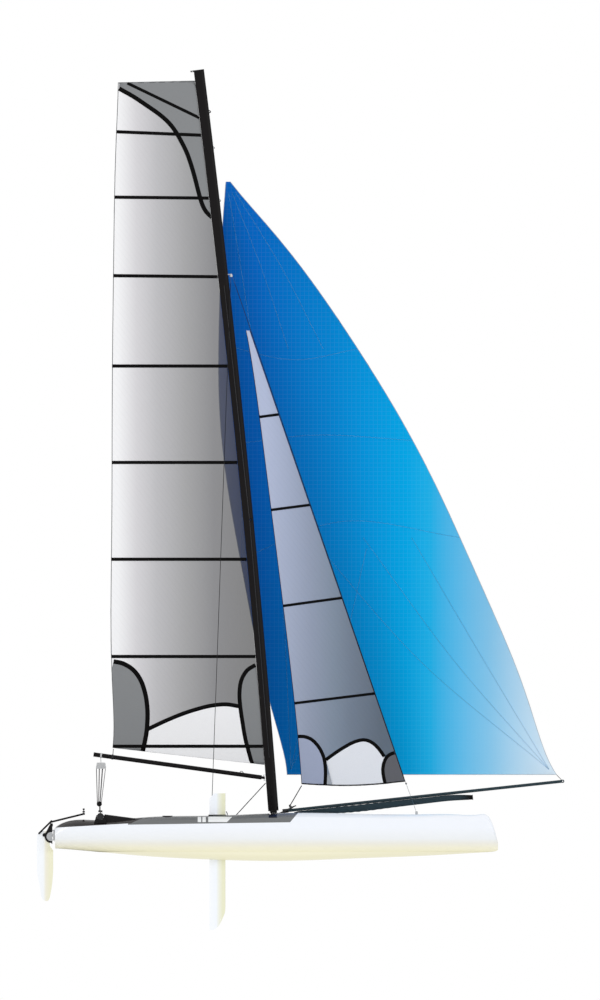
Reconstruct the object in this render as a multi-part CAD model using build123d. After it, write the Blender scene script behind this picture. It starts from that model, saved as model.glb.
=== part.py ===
from build123d import *
from math import atan2, cos, radians, sin, sqrt, tan
import os

# A 20-foot racing catamaran, in millimetres. X runs to the bow, Y to port, Z up, and the
# origin is on the waterline, amidships, on the centreline.

# ---------------------------------------------------------------- driving dimensions
SIDES = {"starboard": -1, "port": 1}
SEAT = 0.3                   # gap between a piece and what carries it

# Hulls
HULL_LENGTH = 6100.0
TRANSOM_X = -HULL_LENGTH / 2
HULL_HALF_BEAM = 205.0
HULL_Y = 1395.0              # from the centreline to a hull's own middle
DECK_CROWN = 58.0
# Table of offsets: share of the length from the transom, keel, sheer, share of the half beam
OFFSETS = [
    (0.000, 50, 335, 0.80),
    (0.020, 42, 408, 0.83),
    (0.100, 0, 437, 0.92),
    (0.200, -55, 478, 0.98),
    (0.345, -103, 500, 1.00),
    (0.510, -124, 536, 1.00),
    (0.665, -92, 530, 0.95),
    (0.815, -57, 517, 0.78),
    (0.905, -28, 517, 0.53),
    (0.955, -9, 515, 0.34),
    (0.979, 0, 488, 0.235),
    (0.990, 6, 350, 0.165),
    (0.996, 14, 225, 0.10),
    (1.000, 30, 128, 0.045),
]

# Beams and trampoline
FRONT_BEAM_X = -42.0
FRONT_BEAM_Z = 480.0
FRONT_BEAM_RADIUS = 55.0
BEAM_OVERHANG = 75.0         # of the front beam past a hull's middle
FRONT_BEAM_HALF = HULL_Y + BEAM_OVERHANG
REAR_BEAM_INSET = 625.0      # from the transom
REAR_BEAM_X = TRANSOM_X + REAR_BEAM_INSET
REAR_BEAM_Z = 490.0
REAR_BEAM_RADIUS = 48.0
SADDLE_HALF_WIDTH = 145.0
REAR_BEAM_HALF = HULL_Y + SADDLE_HALF_WIDTH + 5.0
SADDLE_LENGTH = 175.0
SADDLE_TOP_LENGTH = 112.0
TRAMPOLINE_Z = 450.0
TRAMPOLINE_THICK = 6.0
TRAMPOLINE_HALF = 1165.0
STRIKER_DROP = 190.0
STRIKER_ROD = 7.0

# Mast
MAST_FOOT_Z = 566.0
MAST_TOP_Z = 10750.0
MAST_CHORD = 143.0
MAST_THICK = 60.0
MAST_AFT_WIDTH = 22.0
MAST_STATIONS = 11
MAST_RAKE_FOOT = 4.4         # degrees aft of plumb, growing to the head as the mast bends
MAST_RAKE_HEAD = 7.1
STEP_BALL = 20.0
STEP_NECK = 10.0
STEP_PLATE = 10.0
HOUNDS_Z = 7950.0
TANG_REACH = 40.0            # from the mast's nose to the stays' common point
TANG_THICK = 10.0
TANG_PIN = 4.0
STAY_COLLAR_RADIUS = 22.0
STAY_COLLAR_HEIGHT = 30.0
STAY_SPREAD = 16.0           # from the turning axis to each stay's top
SPREADER_Z = 4572.0
SPREADER_LENGTH = 390.0
SPREADER_RADIUS = 9.0
CRANE_REACH = 45.0
CRANE_THICK = 22.0
CRANE_HOLE = 6.0

# Boom and mainsheet
GOOSENECK_Z = 1022.0
GOOSENECK_REACH = 22.0       # from the mast's aft edge to the swing axis
GOOSENECK_PIN = 5.0
BOOM_LENGTH = 2370.0
BOOM_PITCH = 7.8             # degrees, rising towards its aft end
BOOM_HEIGHT = 60.0
BOOM_WIDTH = 46.0
BLOCK_RADIUS = 36.0
BLOCK_THICK = 30.0
SHEAVE_RADIUS = 20.0         # of the three wheels in the upper block
SHEAVE_PITCH = 45.0
UPPER_BLOCK_HEIGHT = 92.0
UPPER_BLOCK_WIDTH = 138.0
MAINSHEET_X = REAR_BEAM_X - 15.0
LOWER_BLOCK_Z = 662.0
UPPER_BLOCK_Z = 1185.0
TRACK_HALF = 1120.0
TRACK_WIDTH = 24.0
TRACK_TOP = 22.0             # above the rear beam's highest line
CAR_LENGTH = 110.0
CAR_WIDTH = 56.0
CAR_HEIGHT = 26.0
CAR_GAP = 0.5

# Sails
SAIL_THICK = 5.0
LUFF_GAP = 1.5
# Mainsail stations: luff height, leech x, leech height, belly
MAINSAIL = [
    (1198, -2258, 1432, 40),
    (2692, -2278, 2692, 95),
    (4031, -2278, 4031, 100),
    (5364, -2269, 5364, 95),
    (6692, -2264, 6692, 85),
    (7932, -2250, 7945, 75),
    (9006, -2235, 9019, 60),
    (9869, -2208, 9919, 40),
    (10630, -2183, 10603, 20),
]
# Jib stations: luff height, leech x, leech height, belly
JIB = [
    (964, 344, 929, 45),
    (1542, 296, 1542, 70),
    (2919, 145, 2919, 70),
    (4159, -7, 4159, 55),
    (5536, -180, 5536, 40),
    (6775, -350, 6775, 18),
    (7188, -425, 7188, 3),
]
# Gennaker stations: height, luff x and y, leech x and y, belly
GENNAKER = [
    (1060, 3862, 20, 145, 1180, 240),
    (2093, 3463, 180, -103, 1150, 440),
    (3470, 2912, 330, -398, 1060, 500),
    (4847, 2293, 400, -647, 930, 460),
    (6224, 1563, 400, -792, 760, 360),
    (7326, 861, 330, -792, 560, 250),
    (8152, 269, 250, -768, 380, 140),
    (8750, -227, 160, -737, 220, 50),
    (9240, -640, 80, -700, 84, 3),
]

# Stays and their fittings
WIRE = 2.5
FORESTAY_FOOT = (1784.0, 942.0)
BRIDLE_X = 1928.0
BRIDLE_INSET = 60.0          # inboard of the hull's middle
CHAINPLATE_X = -895.0
CHAINPLATE_INSET = 95.0
PLATE_THICK = 6.0
PLATE_WIDTH = 36.0
PLATE_RISE = 52.0
KNOT_RADIUS = 12.0
HANK_GAP = SEAT

# Pole, sock and jib track
POLE_RADIUS = 21.0
POLE_BUTT = (113.0, 565.0)
POLE_TIP = (3973.0, 978.0)
TIP_EYE = 8.0
STROP_RADIUS = 4.0
SOCK_START_X = 235.0
SOCK_MOUTH_X = 2690.0
SOCK_RADIUS = 47.0
SOCK_TAIL_RADIUS = 14.0
SOCK_MOUTH_BORE = 38.0
SOCK_MOUTH_DEPTH = 260.0
RING_RADIUS = 6.0
JIB_TRACK_X = 194.0
JIB_TRACK_Z = 612.0
JIB_TRACK_SWEEP = 17.0
JIB_TRACK_HEIGHT = 16.0
JIB_TRACK_WIDTH = 22.0

# Rudders and tillers
PINTLE_REACH = 42.0          # from the transom to the steering axis
PINTLE_X = TRANSOM_X - PINTLE_REACH
PINTLE_RADIUS = 6.0
GUDGEON_HEIGHTS = (165.0, 300.0)
GUDGEON_THICK = 14.0
CHEEK_THICK = 6.0
POCKET_DEPTH = 2.5           # of the recess in each cheek
BEND_RADIUS_HEAD = 75.0      # of the cheek's round lower part, to the middle of its rim
RIM_WIDTH = 26.0
STRUT_REACH = 178.0          # from the steering axis to the strut's aft end
STRUT_WIDTH = 24.0
BLADE_THICK = 26.0
BLADE_AFT = 206.0            # from the steering axis to the blade's trailing edge
BLADE_FORE = 17.0            # and to its leading edge, ahead of it
BLADE_DEPTH = 676.0          # below the waterline
KICK_REACH = 103.0           # from the steering axis to the blade's bolt
KICK_X = PINTLE_X - KICK_REACH
KICK_Z = 235.0
KICK_BOLT = 6.0
TILLER_FRONT_X = REAR_BEAM_X - 230.0
TILLER_HEAD_Z = 415.0
TILLER_FRONT_Z = 524.0
TILLER_RADIUS = 13.0
CROSSBAR_RADIUS = 12.0
CROSSBAR_LIFT = 30.0
EYE_RADIUS = 17.0
EYE_PIN = 5.0
EXTENSION_LENGTH = 1240.0
EXTENSION_RADIUS = 9.0
EXTENSION_LIFT = 34.0

# Daggerboards
BOARD_X = -813.0
BOARD_CHORD = 220.0
BOARD_THICK = 28.0
BOARD_TOP = 808.0
BOARD_TIP = -1080.0
BOARD_TIP_HEIGHT = 440.0
TRUNK_GAP = 2.0
COLLAR_TOP = 514.0
COLLAR_MARGIN = 16.0
STOP_HEIGHT = 12.0
DRAIN_RADIUS = 10.0
DRAIN_DEPTH = 40.0
DRAIN_Z = 92.0
DRAIN_INSET = 70.0           # inboard of the hull's middle, clear of the rudder
HATCH_X = -1500.0
HATCH_RADIUS = 72.0


# ---------------------------------------------------------------- helpers
def save(node, shape):
    solids = shape.solids()
    whole = solids[0] if len(solids) == 1 else Compound(children=list(solids))
    export_step(whole, f"parts/{node}.step")


def rod(start, end, radius):
    """A straight round bar between two points."""
    start, end = Vector(*start), Vector(*end)
    run = end - start
    plane = Plane(origin=start, z_dir=run.normalized())
    return extrude(plane * Circle(radius), amount=run.length)


def block(x, y, z):
    """A box from its lowest and highest value along each axis."""
    return Pos((x[0] + x[1]) / 2, (y[0] + y[1]) / 2, (z[0] + z[1]) / 2) * Box(
        x[1] - x[0], y[1] - y[0], z[1] - z[0])


def side_plate(points, y, thickness):
    """A plate in the X-Z plane, centred on y."""
    outline = make_face(Polyline(*[(x, z) for x, z in points], close=True))
    plane = Plane(origin=(0, y + thickness / 2, 0), x_dir=(1, 0, 0), z_dir=(0, -1, 0))
    return extrude(plane * outline, amount=thickness)


def side_cut(face, y, thickness):
    """A flat shape drawn in the X-Z plane, given a thickness centred on y."""
    plane = Plane(origin=(0, y + thickness / 2, 0), x_dir=(1, 0, 0), z_dir=(0, -1, 0))
    return extrude(plane * face, amount=thickness)


def side_bar(start, end, width):
    """A bar with round ends between two points of the X-Z plane, as a flat shape."""
    run = Vector(end[0] - start[0], end[1] - start[1])
    middle = Pos((start[0] + end[0]) / 2, (start[1] + end[1]) / 2)
    return middle * Rot(0, 0, run.get_angle(Vector(1, 0, 0))) * SlotCenterToCenter(run.length, width)


def foil(chord, thickness, edge):
    """A foil outline with its nose towards +X, centred on its chord."""
    nose, tail = chord / 2, -chord / 2
    upper = Spline(
        (tail, edge / 2), (-0.16 * chord, 0.36 * thickness), (0.14 * chord, 0.5 * thickness),
        (0.38 * chord, 0.34 * thickness), (nose, 0),
        tangents=[(1, 0.12), (0, -1)])
    lower = upper.mirror(Plane.XZ)
    return make_face(Curve() + [upper, lower, Line((tail, edge / 2), (tail, -edge / 2))])


def at_beam(x, y=0.0, z=0.0):
    return Plane(origin=(x, y, z), x_dir=(1, 0, 0), z_dir=(0, 1, 0))


def beam_tube(x, z, radius, half):
    return extrude(at_beam(x, -half, z) * Circle(radius), amount=2 * half)


# ---------------------------------------------------------------- mast line
MAST_TURN = radians(MAST_RAKE_HEAD - MAST_RAKE_FOOT)
MAST_MEAN = radians((MAST_RAKE_HEAD + MAST_RAKE_FOOT) / 2)
MAST_LENGTH = (MAST_TOP_Z - MAST_FOOT_Z) / cos(MAST_MEAN)
BEND_RADIUS = MAST_LENGTH / MAST_TURN
FOOT_RAKE = radians(MAST_RAKE_FOOT)
BEND_X = FRONT_BEAM_X - BEND_RADIUS * cos(FOOT_RAKE)
BEND_Z = MAST_FOOT_Z - BEND_RADIUS * sin(FOOT_RAKE)


def mast_x(z):
    """Where the mast's middle line stands at a height."""
    return BEND_X + sqrt(BEND_RADIUS ** 2 - (z - BEND_Z) ** 2)


def mast_rake(z):
    return atan2(z - BEND_Z, mast_x(z) - BEND_X)


def mast_edge(z, share):
    """A point on the mast's chord: share 1 is the nose, -1 the aft edge."""
    return mast_x(z) + share * MAST_CHORD / 2 / cos(mast_rake(z))


TANG = Vector(mast_edge(HOUNDS_Z, 1) + TANG_REACH, 0, HOUNDS_Z)
BALL = Vector(FRONT_BEAM_X, 0, MAST_FOOT_Z)
TURN_AXIS = (TANG - BALL).normalized()
FORESTAY_END = Vector(FORESTAY_FOOT[0], 0, FORESTAY_FOOT[1])
GOOSENECK = Vector(mast_edge(GOOSENECK_Z, -1) - GOOSENECK_REACH, 0, GOOSENECK_Z)
SWING_TOP = Vector(mast_edge(MAST_TOP_Z, -1) - GOOSENECK_REACH, 0, MAST_TOP_Z)
SWING_AXIS = (SWING_TOP - GOOSENECK).normalized()


# ---------------------------------------------------------------- hulls
def hull_station(share, keel, sheer, fullness):
    half = HULL_HALF_BEAM * fullness
    depth = sheer - keel
    crown = min(DECK_CROWN, 0.2 * depth)
    side = [(0.80 * half, sheer - crown), (half, keel + 0.60 * depth),
            (0.86 * half, keel + 0.24 * depth), (0.47 * half, keel + 0.05 * depth)]
    under = Spline(*side, (0, keel), *[(-y, z) for y, z in reversed(side)])
    deck = ThreePointArc(side[0], (0, sheer), (-side[0][0], side[0][1]))
    x = (share - 0.5) * HULL_LENGTH
    plane = Plane(origin=(x, 0, 0), x_dir=(0, 1, 0), z_dir=(1, 0, 0))
    return plane * make_face(Curve() + [under, deck])


def board_slot(gap, low, high):
    plane = Plane(origin=(BOARD_X, 0, low), x_dir=(1, 0, 0), z_dir=(0, 0, 1))
    return extrude(plane * foil(BOARD_CHORD + 2 * gap, BOARD_THICK + 2 * gap, 5 + 2 * gap),
                   amount=high - low)


def bare_hull():
    return loft([hull_station(*row) for row in OFFSETS])


def hull(side):
    """One hull on its own middle line, with its trunk, beam landing and drain."""
    shape = bare_hull()
    shape -= board_slot(TRUNK_GAP, -400, 900)
    inner = -side * HULL_HALF_BEAM * 2
    landing_end = side * (FRONT_BEAM_HALF - HULL_Y + SEAT)
    low, high = sorted((inner, landing_end))
    radius = FRONT_BEAM_RADIUS + SEAT
    round_seat = extrude(at_beam(FRONT_BEAM_X, low, FRONT_BEAM_Z) * Circle(radius),
                         amount=high - low)
    above = block((FRONT_BEAM_X - radius, FRONT_BEAM_X + radius), (low, high),
                  (FRONT_BEAM_Z, FRONT_BEAM_Z + 2 * radius))
    shape -= round_seat + above
    drain = Plane(origin=(TRANSOM_X, -side * DRAIN_INSET, DRAIN_Z), z_dir=(1, 0, 0)) * Circle(DRAIN_RADIUS)
    shape -= extrude(drain, amount=DRAIN_DEPTH)
    return shape


def both_sides(make):
    return Compound(children=[solid for side in SIDES.values() for solid in make(side).solids()])


# ---------------------------------------------------------------- platform
def rear_saddle(side, whole_hull):
    low, high = REAR_BEAM_Z - 90, REAR_BEAM_Z + 16
    outline = [(REAR_BEAM_X - SADDLE_LENGTH / 2, low), (REAR_BEAM_X + SADDLE_LENGTH / 2, low),
               (REAR_BEAM_X + SADDLE_TOP_LENGTH / 2, high), (REAR_BEAM_X - SADDLE_TOP_LENGTH / 2, high)]
    shape = side_plate(outline, 0, 2 * SADDLE_HALF_WIDTH) - whole_hull
    shape = Pos(0, side * HULL_Y, 0) * shape
    return shape - beam_tube(REAR_BEAM_X, REAR_BEAM_Z, REAR_BEAM_RADIUS + SEAT, REAR_BEAM_HALF + 50)


def mast_step():
    top = FRONT_BEAM_Z + FRONT_BEAM_RADIUS + STEP_PLATE
    base = block((FRONT_BEAM_X - 40, FRONT_BEAM_X + 40), (-55, 55), (FRONT_BEAM_Z + 20, top))
    base -= beam_tube(FRONT_BEAM_X, FRONT_BEAM_Z, FRONT_BEAM_RADIUS + SEAT, 80)
    neck = rod((FRONT_BEAM_X, 0, top - 1), tuple(BALL), STEP_NECK)
    return base + neck + Pos(*BALL) * Sphere(STEP_BALL)


def dolphin_striker():
    low = FRONT_BEAM_Z - STRIKER_DROP
    post = rod((FRONT_BEAM_X, 0, low - 12), (FRONT_BEAM_X, 0, FRONT_BEAM_Z - 20), 16)
    shape = post
    reach = HULL_Y - HULL_HALF_BEAM - 40
    for side in SIDES.values():
        shape += rod((FRONT_BEAM_X, 0, low), (FRONT_BEAM_X, side * reach, FRONT_BEAM_Z - 15), STRIKER_ROD)
    return shape - beam_tube(FRONT_BEAM_X, FRONT_BEAM_Z, FRONT_BEAM_RADIUS + SEAT, reach + 100)


def trampoline():
    half = TRAMPOLINE_THICK / 2
    sheet = block((REAR_BEAM_X, FRONT_BEAM_X), (-TRAMPOLINE_HALF, TRAMPOLINE_HALF),
                  (TRAMPOLINE_Z - half, TRAMPOLINE_Z + half))
    sheet -= beam_tube(FRONT_BEAM_X, FRONT_BEAM_Z, FRONT_BEAM_RADIUS + SEAT, TRAMPOLINE_HALF + 10)
    sheet -= beam_tube(REAR_BEAM_X, REAR_BEAM_Z, REAR_BEAM_RADIUS + SEAT, TRAMPOLINE_HALF + 10)
    return sheet.solids().sort_by(SortBy.VOLUME)[-1]


def traveller_track():
    top = REAR_BEAM_Z + REAR_BEAM_RADIUS + TRACK_TOP
    stem = block((REAR_BEAM_X - TRACK_WIDTH / 4, REAR_BEAM_X + TRACK_WIDTH / 4), (-TRACK_HALF, TRACK_HALF),
                 (REAR_BEAM_Z + 20, top - 2))
    cap = block((REAR_BEAM_X - TRACK_WIDTH / 2, REAR_BEAM_X + TRACK_WIDTH / 2), (-TRACK_HALF, TRACK_HALF),
                (top - 8, top))
    return stem + cap - beam_tube(REAR_BEAM_X, REAR_BEAM_Z, REAR_BEAM_RADIUS + SEAT, TRACK_HALF + 10)


def traveller_car():
    track_top = REAR_BEAM_Z + REAR_BEAM_RADIUS + TRACK_TOP
    low = track_top - 8 - 5
    half = CAR_LENGTH / 2
    shell = block((REAR_BEAM_X - CAR_WIDTH / 2, REAR_BEAM_X + CAR_WIDTH / 2), (-half, half),
                  (low, track_top + CAR_HEIGHT / 2))
    shell -= block((REAR_BEAM_X - TRACK_WIDTH / 2 - CAR_GAP, REAR_BEAM_X + TRACK_WIDTH / 2 + CAR_GAP),
                   (-half - 1, half + 1), (track_top - 8 - CAR_GAP, track_top + CAR_GAP))
    shell -= block((REAR_BEAM_X - TRACK_WIDTH / 4 - CAR_GAP, REAR_BEAM_X + TRACK_WIDTH / 4 + CAR_GAP),
                   (-half - 1, half + 1), (low - 1, track_top))
    post = rod((MAINSHEET_X + 8, 0, track_top + CAR_HEIGHT / 2 - 2), (MAINSHEET_X + 8, 0, LOWER_BLOCK_Z - BLOCK_RADIUS - SEAT), 9)
    return shell + post


def block_at(x, z):
    """A pulley block: two cheeks on a wheel, all as one piece."""
    wheel = extrude(at_beam(x, -BLOCK_THICK / 2, z) * Circle(BLOCK_RADIUS), amount=BLOCK_THICK)
    groove = extrude(at_beam(x, -BLOCK_THICK / 6, z) * Circle(BLOCK_RADIUS + 1), amount=BLOCK_THICK / 3)
    groove -= extrude(at_beam(x, -BLOCK_THICK / 6, z) * Circle(BLOCK_RADIUS - 7), amount=BLOCK_THICK / 3)
    return wheel - groove


# ---------------------------------------------------------------- mast
def mast():
    """The mast lofted through its own section at even heights on its bent line."""
    rows = []
    for step in range(MAST_STATIONS):
        z = MAST_FOOT_Z + (MAST_TOP_Z - MAST_FOOT_Z) * step / (MAST_STATIONS - 1)
        rake = mast_rake(z)
        plane = Plane(origin=(mast_x(z), 0, z), x_dir=(cos(rake), 0, sin(rake)),
                      z_dir=(-sin(rake), 0, cos(rake)))
        rows.append(plane * foil(MAST_CHORD, MAST_THICK, MAST_AFT_WIDTH))
    return loft(rows) - Pos(*BALL) * Sphere(STEP_BALL + SEAT)


def masthead_crane():
    """The cap on the mast's top, reaching aft over the sail's head."""
    rake = mast_rake(MAST_TOP_Z)
    plane = Plane(origin=(mast_x(MAST_TOP_Z), 0, MAST_TOP_Z), x_dir=(cos(rake), 0, sin(rake)),
                  z_dir=(-sin(rake), 0, cos(rake)))
    cap = extrude(plane * (Pos(-CRANE_REACH / 2, 0) * SlotOverall(MAST_CHORD + CRANE_REACH, 44)), amount=CRANE_THICK)
    hole = at_beam(mast_x(MAST_TOP_Z) - MAST_CHORD / 2 - CRANE_REACH / 2, -40, MAST_TOP_Z + 2)
    return cap - extrude(hole * Circle(CRANE_HOLE), amount=80)


def stay_collar():
    """The swivel under the mast's tang, which takes the three stays."""
    plane = Plane(origin=TANG - TURN_AXIS * STAY_COLLAR_HEIGHT, z_dir=TURN_AXIS)
    body = extrude(plane * Circle(STAY_COLLAR_RADIUS), amount=STAY_COLLAR_HEIGHT)
    return body - extrude(plane.offset(6) * Circle(TANG_PIN + SEAT), amount=STAY_COLLAR_HEIGHT)


def hounds_tang(mast_shape):
    """A plate out of the mast's nose, with the pin that the stays' swivel hangs on."""
    plane = Plane(origin=TANG + TURN_AXIS * SEAT, x_dir=Vector(1, 0, 0), z_dir=TURN_AXIS)
    plate = extrude(plane * (Pos(-TANG_REACH / 2 - 8, 0) * SlotOverall(TANG_REACH + 44, 26)), amount=TANG_THICK)
    pin = rod(tuple(TANG - TURN_AXIS * (STAY_COLLAR_HEIGHT - 8)), tuple(TANG + TURN_AXIS * (TANG_THICK + 5)), TANG_PIN)
    return plate + pin - mast_shape


def spreaders(mast_shape):
    root_x = mast_edge(SPREADER_Z, 1) - 34
    shape = None
    for side in SIDES.values():
        arm = rod((root_x, 0, SPREADER_Z), (root_x - 25, side * SPREADER_LENGTH, SPREADER_Z + 10), SPREADER_RADIUS)
        boss = rod((root_x, 0, SPREADER_Z), (root_x - 3, side * 50, SPREADER_Z + 1), 2 * SPREADER_RADIUS)
        shape = arm + boss if shape is None else shape + arm + boss
    return shape - mast_shape


def gooseneck(mast_shape):
    """A bracket on the mast's aft edge with the boom's pin between two ears."""
    shape = None
    for way in (-1, 1):
        start = GOOSENECK + SWING_AXIS * (way * (BOOM_HEIGHT / 2 + 8))
        plane = Plane(origin=start, x_dir=(1, 0, 0), z_dir=SWING_AXIS * way)
        ear = extrude(plane * (Pos(GOOSENECK_REACH / 2 + 6, 0) * SlotOverall(GOOSENECK_REACH + 40, 20)), amount=5)
        shape = ear if shape is None else shape + ear
    span = BOOM_HEIGHT / 2 + 12
    pin = rod(tuple(GOOSENECK - SWING_AXIS * span), tuple(GOOSENECK + SWING_AXIS * span), GOOSENECK_PIN)
    return shape + pin - mast_shape


# ---------------------------------------------------------------- boom
BOOM_WAY = Vector(-cos(radians(BOOM_PITCH)), 0, sin(radians(BOOM_PITCH)))


def boom_point(distance, lift=0.0):
    up = Vector(sin(radians(BOOM_PITCH)), 0, cos(radians(BOOM_PITCH)))
    return GOOSENECK + BOOM_WAY * distance + up * lift


def boom():
    plane = Plane(origin=boom_point(34), x_dir=(0, 1, 0), z_dir=BOOM_WAY)
    tube = extrude(plane * RectangleRounded(BOOM_WIDTH, BOOM_HEIGHT, 18), amount=BOOM_LENGTH - 34)
    eye_plane = Plane(origin=GOOSENECK - SWING_AXIS * 18, x_dir=(1, 0, 0), z_dir=SWING_AXIS)
    eye = extrude(eye_plane * Circle(12), amount=36)
    tongue = block((-60, 0), (-8, 8), (-18, 18))
    tongue = Pos(*GOOSENECK) * (Rot(0, BOOM_PITCH, 0) * tongue)
    hole = extrude(eye_plane.offset(-20) * Circle(GOOSENECK_PIN + SEAT), amount=80)
    return tube + (eye + tongue - hole)


def boom_ring(distance, width):
    """A band round the boom."""
    plane = Plane(origin=boom_point(distance - width / 2), x_dir=(0, 1, 0), z_dir=BOOM_WAY)
    outer = extrude(plane * RectangleRounded(BOOM_WIDTH + 10, BOOM_HEIGHT + 10, 22), amount=width)
    gap = 2 * SEAT
    return outer - extrude(plane * RectangleRounded(BOOM_WIDTH + gap, BOOM_HEIGHT + gap, 18 + SEAT), amount=width)


def outhaul_strap():
    clew_x, clew_z = MAINSAIL[0][1], MAINSAIL[0][2]
    distance = (GOOSENECK.X - clew_x) / cos(radians(BOOM_PITCH))
    top = boom_point(distance, BOOM_HEIGHT / 2 + 3)
    strap = rod(tuple(top), (clew_x + 12, 0, clew_z - 12), 5)
    return boom_ring(distance, 26) + strap


def triple_block(x, z):
    """Three wheels in a row between two cheeks, under one head bar."""
    cheek = Polyline((-0.5 * UPPER_BLOCK_WIDTH, -0.42 * UPPER_BLOCK_HEIGHT),
                     (0.5 * UPPER_BLOCK_WIDTH, -0.42 * UPPER_BLOCK_HEIGHT),
                     (0.43 * UPPER_BLOCK_WIDTH, 0.5 * UPPER_BLOCK_HEIGHT),
                     (-0.43 * UPPER_BLOCK_WIDTH, 0.5 * UPPER_BLOCK_HEIGHT), close=True)
    outline = fillet(make_face(cheek).vertices(), 12)
    shape = None
    for way in (-1, 1):
        plate = side_cut(Pos(x, z) * outline, way * (BLOCK_THICK / 2 - 2), 4)
        shape = plate if shape is None else shape + plate
    for spot in (-1, 0, 1):
        wheel = Pos(x + spot * SHEAVE_PITCH, z - 0.12 * UPPER_BLOCK_HEIGHT)
        shape += side_cut(wheel * Circle(SHEAVE_RADIUS), 0, BLOCK_THICK - 4)
        shape += side_cut(wheel * Circle(6), 0, BLOCK_THICK + 6)
    bar = Pos(x, z + 0.38 * UPPER_BLOCK_HEIGHT) * Rectangle(0.8 * UPPER_BLOCK_WIDTH, 12)
    return shape + side_cut(bar, 0, BLOCK_THICK - 4)


def mainsheet_upper_block():
    x = MAINSHEET_X + 24
    distance = (GOOSENECK.X - x) / cos(radians(BOOM_PITCH))
    under = boom_point(distance, -BOOM_HEIGHT / 2 - 3)
    link = rod(tuple(under), (x, 0, UPPER_BLOCK_Z + 0.4 * UPPER_BLOCK_HEIGHT), 5)
    return boom_ring(distance, 22) + link + triple_block(x, UPPER_BLOCK_Z)


# ---------------------------------------------------------------- sails
def sail_section(luff, leech, belly):
    """A thin crescent between two points, bellying to port."""
    chord = leech - luff
    out = Vector(0, 0, 1).cross(chord).normalized()
    if out.Y < 0:
        out = out * -1
    half = out * (SAIL_THICK / 2)
    middle = luff + chord * 0.45 + out * belly
    outer = ThreePointArc(luff + half, middle + half, leech + half)
    inner = ThreePointArc(luff - half, middle - half, leech - half)
    ends = [Line(luff + half, luff - half), Line(leech + half, leech - half)]
    return make_face(Curve() + [outer, ends[1], inner, ends[0]])


def mainsail():
    rows = []
    for luff_z, leech_x, leech_z, belly in MAINSAIL:
        luff = Vector(mast_edge(luff_z, -1) - LUFF_GAP, 0, luff_z)
        rows.append(sail_section(luff, Vector(leech_x, 0, leech_z), belly))
    return loft(rows)


def forestay_x(z):
    share = (z - FORESTAY_END.Z) / (TANG.Z - FORESTAY_END.Z)
    return FORESTAY_END.X + share * (TANG.X - FORESTAY_END.X)


def jib():
    rows = []
    for luff_z, leech_x, leech_z, belly in JIB:
        luff = Vector(forestay_x(luff_z) - WIRE - HANK_GAP, 0, luff_z)
        rows.append(sail_section(luff, Vector(leech_x, 0, leech_z), belly))
    return loft(rows)


def gennaker():
    rows = [sail_section(Vector(luff_x, luff_y, z), Vector(leech_x, leech_y, z), belly)
            for z, luff_x, luff_y, leech_x, leech_y, belly in GENNAKER]
    return loft(rows)


# ---------------------------------------------------------------- standing rigging
def deck_height(whole_hull, x, y):
    """The deck's height at a place, found on the hull itself."""
    probe = block((x - 2, x + 2), (y - 2, y + 2), (200, 800)) & whole_hull
    return probe.bounding_box().max.Z


def deck_plate(side, whole_hull, x, inset):
    """An upright plate on the deck with its eye."""
    y = -side * inset
    top = deck_height(whole_hull, x, y) + PLATE_RISE
    shape = block((x - PLATE_WIDTH / 2, x + PLATE_WIDTH / 2), (y - PLATE_THICK / 2, y + PLATE_THICK / 2),
                  (top - PLATE_RISE - 60, top))
    shape = shape - whole_hull
    shape = shape.solids().sort_by(Axis.Z)[-1]
    return Pos(0, side * HULL_Y, 0) * shape


def stay_top(x, y):
    """Where a stay leaves the swivel, spread a little from the turning axis."""
    return TANG - TURN_AXIS * (STAY_COLLAR_HEIGHT - 4) + Vector(x, y, 0) * STAY_SPREAD


def plate_eye(side, whole_hull, x, inset):
    """The eye of a deck plate, near its top."""
    return Vector(x, side * (HULL_Y - inset), deck_height(whole_hull, x, -side * inset) + PLATE_RISE - 12)


def largest(shape):
    return shape.solids().sort_by(SortBy.VOLUME)[-1]


def shroud(side, whole_hull):
    foot = plate_eye(side, whole_hull, CHAINPLATE_X, CHAINPLATE_INSET)
    wire = rod(tuple(foot), tuple(stay_top(-0.4, side)), WIRE) - stay_collar()
    return largest(wire - deck_plate(side, whole_hull, CHAINPLATE_X, CHAINPLATE_INSET))


def bridle_knot():
    return Pos(*FORESTAY_END) * Sphere(KNOT_RADIUS)


def forestay():
    return largest(rod(tuple(stay_top(1, 0)), tuple(FORESTAY_END), WIRE) - stay_collar() - bridle_knot())


def bridle(whole_hull):
    shape = bridle_knot()
    for side in SIDES.values():
        eye = plate_eye(side, whole_hull, BRIDLE_X, BRIDLE_INSET)
        shape += rod(tuple(FORESTAY_END), tuple(eye), WIRE)
        shape -= deck_plate(side, whole_hull, BRIDLE_X, BRIDLE_INSET)
    return largest(shape)


# ---------------------------------------------------------------- pole and sock
POLE_PITCH = atan2(POLE_TIP[1] - POLE_BUTT[1], POLE_TIP[0] - POLE_BUTT[0])
POLE_WAY = Vector(cos(POLE_PITCH), 0, sin(POLE_PITCH))
POLE_UP = Vector(-sin(POLE_PITCH), 0, cos(POLE_PITCH))


def pole_point(x, lift=0.0):
    base = Vector(POLE_BUTT[0], 0, POLE_BUTT[1])
    return base + POLE_WAY * ((x - base.X) / cos(POLE_PITCH)) + POLE_UP * lift


def bow_pole():
    tube = rod(tuple(pole_point(POLE_BUTT[0])), tuple(pole_point(POLE_TIP[0] - 30)), POLE_RADIUS)
    nose = Pos(*pole_point(POLE_TIP[0] - 32)) * Sphere(POLE_RADIUS + 2)
    eye = extrude(at_beam(POLE_TIP[0] - 32, -60, pole_point(POLE_TIP[0] - 32).Z) * Circle(TIP_EYE), amount=120)
    return tube + nose - eye


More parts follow.
